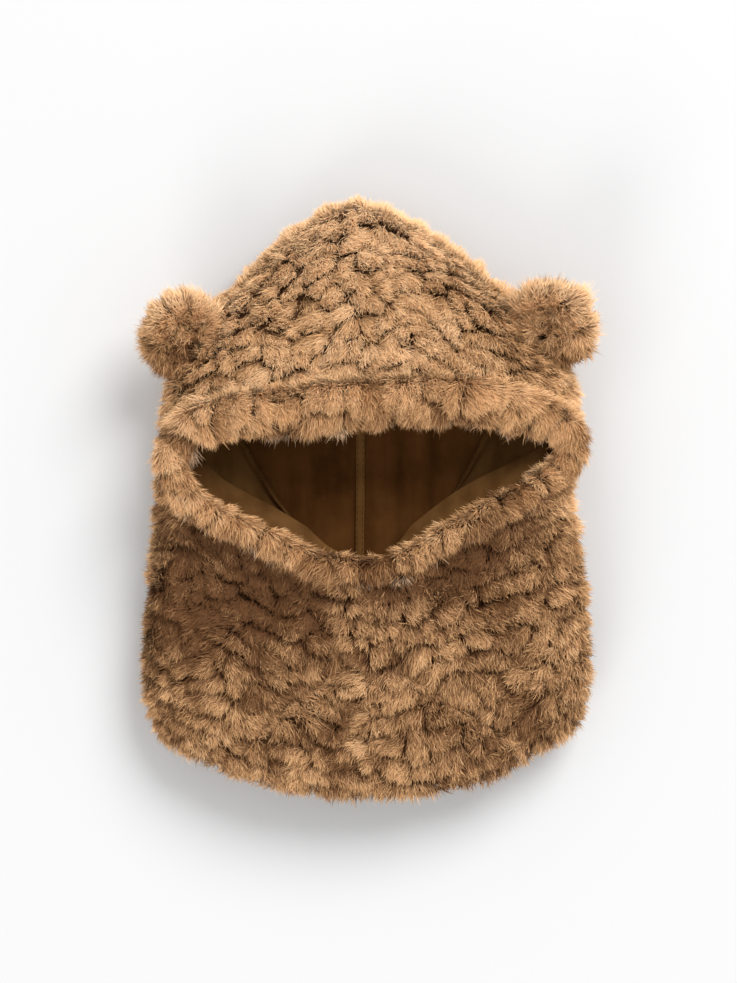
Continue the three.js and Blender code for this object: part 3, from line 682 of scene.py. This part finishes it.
def ribbons(name, root, middle, tip, normal, puff, width, tone_and_light, pale, material, seed):
    """Builds the kites as one mesh. The map OFBake holds the tone, with its painted light and shadow, across,
    and the way from root to tip up.
    """
    dice = np.random.default_rng(seed)
    count = len(root)
    for points in (middle, tip):
        points[:, 2] = np.maximum(points[:, 2], floor_gap)
    side = unit(np.cross(tip - root, normal))
    other = unit(np.cross(side, tip - root))
    twist = dice.normal(0, 0.5, (count, 1))
    turned = side * np.cos(twist) + other * np.sin(twist)
    other = other * np.cos(twist) - side * np.sin(twist)
    wide = turned * width[:, None] / 2
    verts = np.stack([root, middle + wide, middle - wide, tip], axis=1)
    risen = normal + UP * np.clip(1.1 - np.abs(normal[:, 2:]), 0, 1) * (normal[:, 2:] > -0.4)
    inward = (np.cross(verts[:, 1] - root, verts[:, 2] - root) * risen).sum(-1) < 0
    verts[inward, 1], verts[inward, 2] = verts[inward, 2], verts[inward, 1].copy()
    mesh = bpy.data.meshes.new(name)
    mesh.vertices.add(count * 4)
    mesh.vertices.foreach_set("co", (verts * MM).astype(np.float32).ravel())
    corners = np.arange(count)[:, None] * 4 + [0, 1, 2, 1, 3, 2]
    mesh.loops.add(corners.size)
    mesh.loops.foreach_set("vertex_index", corners.astype(np.int32).ravel())
    mesh.polygons.add(count * 2)
    mesh.polygons.foreach_set("loop_start", (np.arange(count * 2) * 3).astype(np.int32))
    chart = mesh.uv_layers.new(name="OFBake")
    tone_and_light = np.clip(tone_and_light, 0.03, 0.97)[:, None]
    low, high = tone_and_light - tint_spread, tone_and_light + tint_spread
    u = np.concatenate([tone_and_light, high, low, high, tone_and_light, low], axis=1)
    bend = bend_place
    # pale lifts a hair's colour towards its tip's, as painted light over the edges.
    v = pale[:, None] + (1 - pale[:, None]) * [0.0, bend, bend, bend, 1.0, bend]
    chart.data.foreach_set("uv", np.stack([u, v], axis=-1).astype(np.float32).ravel())
    mesh.update(calc_edges=True)
    other *= np.where((other * risen).sum(-1, keepdims=True) < 0, -1, 1)
    lit = unit(unit(unit(risen) + puff) * form_share + other * (1 - form_share))
    mesh.normals_split_custom_set_from_vertices(np.repeat(lit, 4, axis=0).astype(np.float32))
    mesh.materials.append(material)
    piece = bpy.data.objects.new(name, mesh)
    bpy.context.scene.collection.objects.link(piece)
    return piece


def grow(name, spots, locks, look, material, seed):
    """Grows hairs from scattered roots, combed along the nap and gathered into their locks."""
    dice, root, normal = spots["dice"], spots["root"], spots["normal"]
    count = len(root)
    nap = unit(spots["nap"] - normal * (spots["nap"] * normal).sum(-1, keepdims=True))
    across = np.cross(normal, nap)
    swirl = look["swirl"] * (2 * locks["luck"][:, 0] - 1) + look["sweep"] * soft_noise(root, 60, seed + 2)
    swirl = (swirl + dice.normal(0, 0.34, count))[:, None]
    lean = nap * np.cos(swirl) + across * np.sin(swirl)
    tall = (look["tall"] * locks["lift"] * dice.uniform(0.8, 1.08, count))[:, None]
    reach = (locks["reach"] * dice.uniform(0.72, 1.15, count))[:, None]
    stray = dice.normal(0, look["stray"], (count, 3))
    tip = root + normal * tall + lean * reach + locks["gather"] + stray
    middle = root + normal * tall * 0.72 + lean * reach * 0.35 + locks["gather"] * 0.45 + stray * 0.3
    width = look["width"] * dice.uniform(0.7, 1.25, count)
    # The strands and the soft noise give each hair its own tone; the locks bring painted light and painted
    # shadow.
    strand = 0.19 * soft_noise(root, 1.9, seed + 7) + dice.normal(0, 0.12, count)
    tone_and_light = 0.5 + locks["tone_and_painted_light"] + 0.1 * soft_noise(root, 26, seed + 3) + strand
    return ribbons(
        name, root, middle, tip, normal, locks["puff"], width, tone_and_light, locks["pale"], material, seed + 4
    )


def hair_count(piece):
    return len(piece.data.polygons) // 2


thin = 1.0
print("the share of hairs that is grown is", thin)

# %% [markdown]
# ## The hood and the cowl
# The two halves of the hood meet the two halves of the cowl at the neck. The knitted backings give the
# pile its ground, nine millimetres inside the outer form of the fur, and they are what shows between the
# locks.

# %% Backings
root_inset = 9.0
backing_thickness = fur_wall - root_inset - 0.2
hem_row = 0.022
backing_rows = {"hood": (neck_seam + 0.002, last_row, 44), "cowl": (hem_row, neck_seam - 0.002, 26)}
backings, backing_grids = {}, {}
for part, (low, high, rows) in backing_rows.items():
    for side in ("left", "right"):
        name = f"backing_{part}_{side}"
        grid = panel_grid(side, low, high, rows, 41, root_inset)
        cut, turned = part == "hood", side == "left"
        backings[part, side] = cloth_sheet(name, grid, backing_cloth, backing_thickness, cut, turned)
        backing_grids[part, side] = grid
print("backings:", [piece.name for piece in backings.values()])

# %% [markdown]
# ## The pile of the hood and cowl
# The rows of locks follow the rows of the form, and the pile lies towards the hem. The crown's left is
# looser and its right is smoother. Underneath, the pile is pressed flat and needs fewer hairs. Little light
# gets into the dents and beside the trim, so painted shadow darkens them: a table of shadow pools says
# where, and the line of the chin trim. Painted light, from the surface's way and its place, makes the
# crown, the peak and the edges paler.

# %% Painted light and shadow on the pile
underside = 0.15 * brow_height
pool_names = ["across", "up", "wide", "high", "deep"]
shadow_pools = [dict(zip(pool_names, pool)) for pool in (
    (-0.63, 0.345, 0.36, 0.110, 0.62),
    (-0.30, 0.345, 0.18, 0.080, 0.25),
    (0.40, 0.394, 0.28, 0.085, 0.56),
    (0.49, 0.132, 0.24, 0.045, 0.12),
    (-0.24, 0.108, 0.18, 0.035, 0.26),
    (0.69, 0.735, 0.16, 0.045, 0.50),
    (-0.78, 0.697, 0.13, 0.035, 0.32),
    (-0.37, 0.780, 0.14, 0.045, 0.24),
    (0.27, 0.820, 0.22, 0.040, 0.16),
)]


def crown_tuft(root):
    """How loose the tufts are: most on the left of the crown, least on its right and on the cowl."""
    return 0.35 + 0.65 * np.clip(0.5 - root[:, 0] / 90, 0, 1) * np.clip(root[:, 1] / 30, 0, 1)


def body_painted_light(spots):
    """Painted light: paler towards the crown, at the peak, on the crown's left and over the edges.
    Painted shadow: darker beside the chin and in the pools.
    """
    root, normal = spots["root"], spots["normal"]
    across, up = (root[:, 0] - across_middle) / half, (root[:, 1] - hem_place) / body_length
    # Painted light: paler towards the crown and the peak, on the sides that face the crown and over the
    # edges.
    tone_and_painted_light = 0.03 + 0.19 * np.clip((up - 0.5) * 6, -1, 1)
    tone_and_painted_light += 0.14 * normal[:, 1] + 0.3 * np.clip(0.7 - normal[:, 2], 0, 0.7)
    tone_and_painted_light += 0.55 * climb(up, 0.84, 8) + 0.12 * climb(up, 0.62, 8) * np.clip(0.3 - across, 0, 1)
    # Painted shadow on the cowl just beside the chin trim.
    beside = np.full(len(root), 1e9)
    for mark in opening_line[opening_line[:, 1] < 0]:
        beside = np.minimum(beside, np.hypot(root[:, 0] - mark[0], root[:, 1] - mark[1]))
    tone_and_painted_light -= 0.22 * np.exp(-(((beside - 13) / 6) ** 2)) * (up < 0.56) * (root[:, 2] > 2 * underside)
    # Painted shadow in the pools, where little light reaches.
    for pool in shadow_pools:
        far = ((across - pool["across"]) / pool["wide"]) ** 2 + ((up - pool["up"]) / pool["high"]) ** 2
        tone_and_painted_light -= pool["deep"] * np.exp(-far) * (root[:, 2] > underside)
    return tone_and_painted_light


hood_look = {
    "lock": 9.2, "row": 10.4, "jitter": 0.95, "waver": 3.8, "weave": 3.8, "swirl": 0.7, "sweep": 0.5,
    "tall": 9.8, "low": 0.66, "stray": 1.0, "width": 0.46, "tuft": crown_tuft, "tone_and_painted_light": body_painted_light,
}
cowl_look = {**hood_look, "lock": 8.0, "row": 11.0, "jitter": 0.7, "waver": 4.2, "low": 0.6}
print("a lock of the hood is", hood_look["lock"], "by", hood_look["row"], "mm")

# %% Pile of the hood and cowl
rows_in_length = 160
rim_insets = (11.8, 10.4)
rim_step = 0.005
underside_density = 0.4


def close_ridge(spots, locks, up, seed):
    """Past the ridge the pile stands out and covers the seam from both sides. At the crown's end painted
    light makes it pale down to its roots, and painted shadow darkens it just past the ridge.
    """
    over_ridge = climb(up, 1, 1.6)
    down_end = climb(up, 1.12, 4)
    locks["reach"] *= 1 - 0.8 * over_ridge
    locks["gather"] *= 1 - over_ridge[:, None]
    from_seam = spots["root"][:, 0] - across_middle - lie("seam", 1.0) * half
    cross = from_seam * np.exp(-((from_seam / 6) ** 2)) * spots["dice"].uniform(0.5, 1.6, len(up))
    locks["gather"][:, 0] -= cross * climb(up, 0.9, 8)
    locks["lift"] += (0.74 + 0.2 * soft_noise(spots["root"], 9, seed + 8) - locks["lift"]) * over_ridge
    # Painted light at the crown's end, and painted shadow just past the ridge.
    locks["pale"] = locks["pale"] * (1 - 0.5 * over_ridge) * (1 - down_end) + 0.62 * down_end
    locks["tone_and_painted_light"] -= 0.2 * climb(up, 1, 5)


def body_pile(part, side, low, high, count, seed):
    place = np.linspace(low, high, int((high - low) * rows_in_length) + 1)
    angles = side_angles(side, 91)[None, :]
    grid = body_point(angles, place[:, None], root_inset)
    if part == "cowl":
        rim = body_point(angles, np.full((2, 1), low), np.array(rim_insets)[:, None])
        grid = np.concatenate([rim, grid])
        place = np.concatenate([[low - 2 * rim_step, low - rim_step], place])
    centre = (grid[:-1, :-1] + grid[1:, 1:]) / 2
    lift = np.sin(np.radians(angles[:, :-1]))
    hidden = inside_opening(centre[..., 0], centre[..., 1]) & (lift > 0) & (centre[..., 2] > cut_height)
    density = np.where(lift > -0.25, 1.0, underside_density) * np.where(hidden, 0.0, 1.0)
    spots = scatter(grid, int(count * thin), seed, density)
    if side == "left":
        spots["normal"] = -spots["normal"]
    steep = np.clip(0.75 - spots["normal"][:, 2:], 0, 1)
    rim = np.clip(2.5 - spots["row"], 0, 1)[:, None] * (part == "cowl")
    spots["nap"] = spots["along"] * (1.4 * rim - 1) + steep * (1 - rim) * 1.1 * UP
    up = np.interp(spots["row"], np.arange(len(place)), place)
    look = hood_look if part == "hood" else cowl_look
    locks = wavy_locks(spots, spots["u"], -up * body_length, look, seed)
    close_ridge(spots, locks, up, seed)
    if part == "cowl":
        locks["lift"] *= np.clip(0.45 + 0.3 * spots["row"], 0, 1)
    return grow(f"fur_{part}_{side}", spots, locks, look, body_fur, seed)


piles = {}
for part, low, high, count in (("hood", neck_seam, last_row, 78000), ("cowl", hem_row, neck_seam, 72000)):
    for side, seed in (("left", 11), ("right", 12)):
        piles[part, side] = body_pile(part, side, low, high, count, seed)
        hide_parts(f"{part}_{side}")
        lay(backings[part, side], backing_grids[part, side])
print("hairs:", {piece.name: hair_count(piece) for piece in piles.values()})

# %% [markdown]
# ## The rolled trim
# The trim is a padded roll of the same fur, straighter and lighter than the body's. It lies down the face, so
# it hangs as a fringe over the top of the opening and spills outwards over its lower rim.

# %% Trim core and pile
trim_depth = 8.5
trim_hairs = {"brow": 52000, "chin": 34000}
core_around = np.linspace(0, 360, 13)
core_grid = trim_roll(np.linspace(0, 1, 91)[:, None], core_around[None, :], trim_depth + 0.3)
trim_core = cloth_sheet("trim_core", core_grid, backing_cloth, 1.0)
down_the_face = np.array([0.0, -1.0, 0.0])


def trim_tone_and_painted_light(spots):
    """The trim is palest at its left end and, with painted light from above on the sides facing the crown,
    along the brow; it is darker along the chin.
    """
    along = (spots["root"][:, 0] - across_middle) / half
    chin = np.clip((10 - spots["root"][:, 1]) / 20, 0, 1) * (1 - np.abs(along))
    # Painted light: the sides that face the crown are paler.
    return 0.45 * np.clip(-along - 0.4, 0, 0.6) - 0.02 - 0.12 * chin + 0.12 * spots["normal"][:, 1]


trim_look = {
    "lock": 9.6, "row": 13.5, "jitter": 0.8, "waver": 4.5, "weave": 4.0, "swirl": 0.6, "sweep": 0.4,
    "tall": 9.6, "low": 0.8, "stray": 1.0, "width": 0.46, "tuft": lambda root: 0.8 + 0 * root[:, 0],
    "tone_and_painted_light": trim_tone_and_painted_light,
}


def trim_pile(name, low, high, count, seed):
    share, turn = np.linspace(low, high, 161), np.linspace(-80, 280, 61)
    grid = trim_roll(share[:, None], turn[None, :], trim_depth)
    rise = np.sin(np.radians((turn[:-1] + turn[1:]) / 2))
    spots = scatter(grid, int(count * thin), seed, np.where(rise > -0.5, 1.0, 0.3)[None, :])
    root = spots["root"]
    middle, outward, wide, thick = trim_at(low + (high - low) * spots["row"] / 160)
    outer = root - middle
    spots["normal"] *= np.sign((spots["normal"] * outer).sum(-1, keepdims=True))
    side = (outer * outward).sum(-1) / wide * 2
    spill = np.clip(1.3 * soft_noise(root, 17, seed + 8), 0, 1) * np.clip(2.2 * side - 0.7, 0, 1)
    spots["nap"] = down_the_face * (1 - 1.25 * spill[:, None] * (root[:, 1:2] > 20))
    spots["over"], spots["along"] = spots["along"], np.cross(spots["along"], spots["normal"])
    spots["along"] *= np.where(spots["along"][:, 1:2] < 0, -1, 1)
    along = np.interp(spots["row"], np.arange(161), places_along(grid[:, 30]))
    locks = wavy_locks(spots, along, -outer[:, 1], trim_look, seed)
    locks["lift"] = locks["lift"] * np.clip(np.minimum(wide, thick) / 2 * 0.72 / 9, 0.6, 1.0)
    fringe = np.clip(-1.6 * side, 0, 1) * (root[:, 1] > 0)
    locks["reach"] *= 1 + 0.7 * soft_noise(root, 12, seed + 9) * fringe
    locks["gather"] *= 1 + 1.3 * fringe[:, None]
    return grow(name, spots, locks, trim_look, trim_fur, seed)


brow_start, brow_end = 11.4 / trim_count - 1, 3.9 / trim_count
piles["trim_brow"] = trim_pile("fur_trim_brow", brow_start, brow_end, trim_hairs["brow"], 21)
piles["trim_chin"] = trim_pile("fur_trim_chin", brow_end, brow_start + 1, trim_hairs["chin"], 22)
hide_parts("face_trim")
print("trim:", hair_count(piles["trim_brow"]), "and", hair_count(piles["trim_chin"]), "hairs")

# %% [markdown]
# ## The ears
# An ear is a plump round flap that stands up from the side of the crown. Its pile is longer and softer
# than the body's and points away from its middle, in tufts with no rows. A shallow cup is pressed into
# its face, and where the cup is deepest the pile dips into a crease that painted shadow darkens.
# Painted light makes each ear's upper side paler, and painted shadow darkens the clefts between its tufts.

# %% The form of an ear
ear_width, ear_length, ear_thickness, ear_cup, ear_tilt, ear_seat = 57, 54, 26, 8, 32, 0.62
ears = {
    "left": {"across": -0.8, "up": 0.762, "points": 130, "crease": (-102, 82), "seed": 31},
    "right": {"across": 0.81, "up": 0.78, "points": 55, "crease": (93, 77), "seed": 32},
}


def ear_grid(side, depth, around=49, layers=25):
    lift = np.linspace(-math.pi / 2, math.pi / 2, layers)[:, None]
    turn = np.linspace(0, 2 * math.pi, around)[None, :]
    out = np.cos(lift)
    cup = np.where(lift > 0, ear_cup * (1 - out**2), 0)
    local = np.stack([
        (ear_length / 2 - depth) * out * np.cos(turn),
        (ear_width / 2 - depth) * out * np.sin(turn),
        (ear_thickness / 2 - depth * 0.8) * np.sin(lift) - cup * 0.7 + 0 * turn,
    ], axis=-1)
    ear = ears[side]
    x, y = ear["across"] * half + across_middle, ear["up"] * body_length + hem_place
    z = float(front_over(np.array(x), np.array(y))) + ear_seat * ear_thickness
    points, tilt = Matrix.Rotation(math.radians(ear["points"]), 3, "Z"), math.radians(-ear_tilt)
    return local @ np.array(points @ Matrix.Rotation(tilt, 3, "Y")).T + [x, y, z]


print("an ear is", np.round(np.ptp(ear_grid("left", 0), axis=(0, 1))).astype(int), "mm over its pile")

# %% Pile of the ears
ear_depth = 10
ear_hairs = 24000
tuft_count = 80
crease_size = [11, 6]
cores = []
ear_look = {"swirl": 1.0, "sweep": 0.7, "tall": 12.5, "stray": 1.7, "width": 0.45}
for side, ear in ears.items():
    seed = ear["seed"]
    core = cloth_sheet(f"ear_core_{side}", ear_grid(side, ear_depth + 0.3, 33, 17), backing_cloth, 0.8)
    grid = ear_grid(side, ear_depth)
    spots = scatter(grid, int(ear_hairs * thin), seed)
    root = spots["root"]
    outer = root - grid.mean((0, 1))
    spots["normal"] *= np.sign((spots["normal"] * outer).sum(-1, keepdims=True))
    normal = spots["normal"]
    points = math.radians(ear["points"])
    spots["nap"] = np.array([math.cos(points), math.sin(points), 0.0]) * 10 + outer
    middles = root[:tuft_count]
    far = np.linalg.norm(root[:, None] - middles[None], axis=-1)
    near = far.argmin(1)
    gap = np.sort(far, axis=1)[:, :2]
    edge = np.clip((gap[:, 1] - gap[:, 0]) / 4, 0, 1)
    hold = spots["dice"].random((len(near), 1)) ** 0.5
    # The crease dips the pile and darkens it with painted shadow.
    crease_dip_and_shadow = np.exp(-(((root[:, :2] - ear["crease"]) / crease_size) ** 2).sum(-1)) * (normal[:, 2] > 0)
    tall = 0.68 + 0.54 * np.random.default_rng(seed + 51).random(tuft_count)[near]
    # Painted shadow in the clefts between tufts and in the crease; painted light on the sides facing the
    # crown.
    tone_and_painted_light = 0.45 * (edge - 0.6) + 0.42 + 0.36 * normal[:, 1] - 0.75 * crease_dip_and_shadow
    locks = {
        "reach": np.full(len(near), 5.0),
        "lift": (0.7 + 0.3 * edge - 0.4 * crease_dip_and_shadow) * tall,
        "gather": (middles[near] - root) * 0.7 * hold,
        "puff": (root - middles[near]) / 7,
        "luck": np.random.default_rng(seed + 50).random((tuft_count, 4))[near],
        # Painted light: pale over the ear's edges, and paler on its upper half.
        "pale": np.clip(0.8 - normal[:, 2], 0, 0.5),
        "tone_and_painted_light": tone_and_painted_light + 0.3 * np.clip(outer[:, 1] / 14, -1, 1),
    }
    piles["ear", side] = grow(f"fur_ear_{side}", spots, locks, ear_look, ear_fur, seed)
    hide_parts(f"ear_{side}")
    cores.append(core)
print("ear hairs:", hair_count(piles["ear", "left"]))

# %% [markdown]
# ## The lining
# The lining is a second bag inside the first, closed at the ridge and open at the hem and the face. Its
# back lies in soft ripples, which a sum of waves gives, flattened beside the seam where the tape holds
# it.

# %% Lining bag
lining_rows = (0.027, 0.98)
ripple_height, ripple_size = 2.6, 30
linings = {}
for side in ("left", "right"):
    grid = panel_grid(side, *lining_rows, 80, 49, lining_inset)
    beside_seam = np.clip((np.abs(grid[..., 0] - lie("seam", 0.5) * half) - 5) / 9, 0, 1)
    waves = np.clip(soft_noise(grid * [1, 0.22, 1], ripple_size, 7) + 0.3, 0, 1.2)
    grid[..., 2] += ripple_height * waves * (grid[..., 2] < 2 * underside) * beside_seam
    ridge_height = float(lie("fold", lining_rows[1])) * brow_height
    squeeze = np.cos(np.linspace(0, math.pi / 2, 6))[1:, None, None]
    ridge = grid[-1] * (UP * (squeeze - 1) + 1) + UP * ridge_height * (1 - squeeze)
    grid = np.concatenate([grid, ridge])
    name = f"lining_bag_{side}"
    linings[side] = cloth_sheet(name, grid, lining_velour, lining_wall, True, side == "left")
    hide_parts(f"lining_{side}")
    lay(linings[side], grid, rests_on=[backings["hood", side], backings["cowl", side]])
print("the lining has", sum(len(piece.data.polygons) for piece in linings.values()), "faces")

# %% [markdown]
# ## The seam tape
# A narrow tape is bound over the lining's back seam and held by a row of stitches on each side. One stitch is
# modelled as a small long bead and copied along both rows into one mesh.

# %% Seam tape and its stitches
tape_width, tape_thickness, tape_wall = 5, 1.4, 0.3
stitch_size = (0.3, 1.15, 0.26)
stitch_pitch, stitch_margin, stitch_row = 3.4, 10, 0.31
line = body_point(270.0, np.linspace(0.06, 0.95, 120), hollow_inset)
bulge = np.array([0.0, 0.75, 1.0, 1.0, 0.75, 0.0]) * (tape_thickness - tape_wall)
offset = np.array([-0.5, -0.47, -0.36, 0.36, 0.47, 0.5]) * tape_width
section = np.stack([offset, 0 * offset, seat_gap + tape_wall + bulge], -1)
tape = cloth_sheet("seam_tape", line[:, None, :] + section, tape_velour, tape_wall)
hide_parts("lining_seam_tape")

bpy.ops.mesh.primitive_uv_sphere_add(segments=6, ring_count=4, radius=1)
stitch = bpy.context.object
select_only(stitch)
bpy.ops.transform.resize(value=stitch_size)
bpy.ops.object.transform_apply(scale=True)
one = np.array([vertex.co[:] for vertex in stitch.data.vertices])
faces = [tuple(face.vertices) for face in stitch.data.polygons]
bpy.data.objects.remove(stitch)
length = places_along(line)
stops = np.arange(stitch_margin, length[-1] - stitch_margin, stitch_pitch)
middles = np.array([np.interp(stops, length, line[:, k]) for k in range(3)]).T
rises = seat_gap + tape_thickness + 0.05
places = np.concatenate([middles + [beside * stitch_row * tape_width, 0, rises] for beside in (-1, 1)])
points = ((places[:, None] + one[None]) * MM).reshape(-1, 3)
copies = [tuple(v + len(one) * n for v in face) for n in range(len(places)) for face in faces]
mesh = bpy.data.meshes.new("tape_stitches")
mesh.from_pydata(points.tolist(), [], copies)
mesh.materials.append(facing_velour)
stitches = bpy.data.objects.new("tape_stitches", mesh)
bpy.context.scene.collection.objects.link(stitches)
print("the tape has", len(places), "stitches")

# %% [markdown]
# ## Facings and side panels
# A facing finishes the edge of the opening: a strip that follows the roll and drops inwards. From it a side
# panel falls to the fold that shows. Both are laid between two lines, which is quicker than a simulation.

# %% Facings and side panels
facing_spans = {"left": (11.6, 7.9), "right": (4.35, 7.1)}
side_folds = {
    "left": [(-0.6, 0.63), (-0.5, 0.56), (-0.385, 0.49), (-0.27, 0.433), (-0.12, 0.385)],
    "right": [(0.56, 0.64), (0.49, 0.58), (0.4, 0.515), (0.31, 0.448), (0.2, 0.4)],
}
facing_width, facing_drop, facing_turn, facing_wall, facing_crown = 13, 9, math.radians(50), 1.6, 0.8
fold_height, fold_place, fold_width, panel_sag = 5.0, 0.93, 0.07, 2.5
along = np.linspace(0, 1, 60)


def between(first, second, columns):
    """Rows of points from one line to another, and how far across each column lies."""
    across = np.linspace(0, 1, columns)[None, :, None]
    return first[:, None] * (1 - across) + second[:, None] * across, across[..., 0]


strips = {}
for side, (start, end) in facing_spans.items():
    middle, outward, wide, thick = trim_at((start + (end - start) * along) / trim_count)
    outer = middle - outward * ((wide / 2 + seat_gap) * math.cos(facing_turn))[:, None]
    outer[:, 2] -= (thick / 2 + seat_gap) * math.sin(facing_turn)
    reach = facing_width * (0.5 + 0.5 * np.sin(math.pi * along)) * np.clip((1.04 - along) / 0.2, 0, 1)
    free = outer - outward * reach[:, None]
    free[:, 2] -= facing_drop * reach / facing_width
    sheet, across = between(outer, free, 9)
    sheet[..., 2] += facing_crown * np.sin(math.pi * across)
    name = f"facing_strip_{side}"
    facing = cloth_sheet(name, sheet, facing_velour, facing_wall, turned=side == "left")
    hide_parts(f"facing_{side}")
    lay(facing, sheet, rests_on=["face_trim"])
    top = free + (outer - free) * 0.4
    top[:, 2] -= facing_wall + 4 * seat_gap
    marks = np.array(side_folds[side]) * [half, body_length] + [across_middle, hem_place]
    steps = along * (len(marks) - 1)
    foot = [np.interp(steps, np.arange(len(marks)), marks[:, k]) for k in (0, 1)]
    foot = np.column_stack([*foot, np.full(60, hollow_inset + seat_gap + 1.6 * lining_wall)])
    sheet, across = between(top, foot, 25)
    sheet[..., 2] += fold_height * np.exp(-(((fold_place - across) / fold_width) ** 2))
    sheet[..., 2] -= panel_sag * np.sin(math.pi * across)
    panel = cloth_sheet(f"side_panel_{side}", sheet, side_velour, lining_wall, turned=side == "left")
    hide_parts(f"lining_side_{side}")
    lay(panel, sheet, rests_on=[facing])
    strips[side] = (facing, panel)
print("facings and side panels:", [piece.name for pair in strips.values() for piece in pair])

# %% [markdown]
# ## Join the pieces to the body
# A worn cloth thing has no joints, so every piece rides on the one body. The pieces are grouped in a
# table under slot names, and every one is attached to the body.

# %% Join the pieces
facings, panels = zip(*strips.values())
pieces_by_slot = {
    "fur": [piles[part, side] for part in ("hood", "cowl") for side in ("left", "right")],
    "ear_fur": [piles["ear", "left"], piles["ear", "right"], *cores],
    "trim_fur": [piles["trim_brow"], piles["trim_chin"]],
    "lining": [*linings.values(), *panels],
    "facing": [tape, stitches, *facings],
}
pieces_by_slot["fur"] += [*backings.values(), trim_core]
for slot, pieces in pieces_by_slot.items():
    for piece in pieces:
        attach(piece, "root")

# %% [markdown]
# ## Floor, light and camera
# The camera looks straight down, with the crown to the top of the picture. A large soft light stands to
# the upper right, so the shadow falls to the lower left. A small one fills it in, and a pale world does
# the rest.

# %% Stage
paper_grey = (0.675, 0.675, 0.677, 1)
bpy.ops.mesh.primitive_plane_add(size=8)
floor = bpy.context.object
floor.name = "floor"
paper, tree, shader = new_material("pale floor")
set_sockets(shader, {"Base Color": paper_grey, "Roughness": 0.9})
floor.data.materials.append(paper)
floor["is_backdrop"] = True

world = bpy.data.worlds.new("pale room")
bpy.context.scene.world = world
world.use_nodes = True
set_sockets(world.node_tree.nodes["Background"], {"Color": (1.0, 1.0, 1.0, 1), "Strength": 0.7})


def soft_light(name, place, size, power):
    bpy.ops.object.light_add(type="AREA", location=place)
    light = bpy.context.object
    light.name = name
    light.data.shape = "DISK"
    light.data.size = size
    light.data.energy = power
    light.rotation_mode = "QUATERNION"
    light.rotation_quaternion = (-Vector(place)).to_track_quat("-Z", "Y")


soft_light("key light", (2.3, 3.5, 4.1), 3.6, 300)
soft_light("fill light", (-1.6, -3.6, 2.2), 2.4, 80)

# %% Camera
pixel = 0.56 * MM
picture_height = 983
aim_height = 0.04
camera_height = 2.0
bpy.ops.object.camera_add(location=(0.0, 0.0022, camera_height + aim_height))
camera = bpy.context.object
camera.rotation_euler = (0, 0, 0)
camera.data.sensor_width = 36
camera.data.lens = camera.data.sensor_width * camera_height / (picture_height * pixel)
bpy.context.scene.camera = camera
bpy.context.scene.view_settings.view_transform = "Standard"
print("camera lens", round(camera.data.lens, 1))

# %% [markdown]
# ## The size
# The box of the dressed hood is printed, as the frame's was at the start. The dressed hood may stand only
# a little proud of the frame.

# %% Sizes
low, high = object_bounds()
print("visual box", [round(side / MM, 1) for side in high - low])
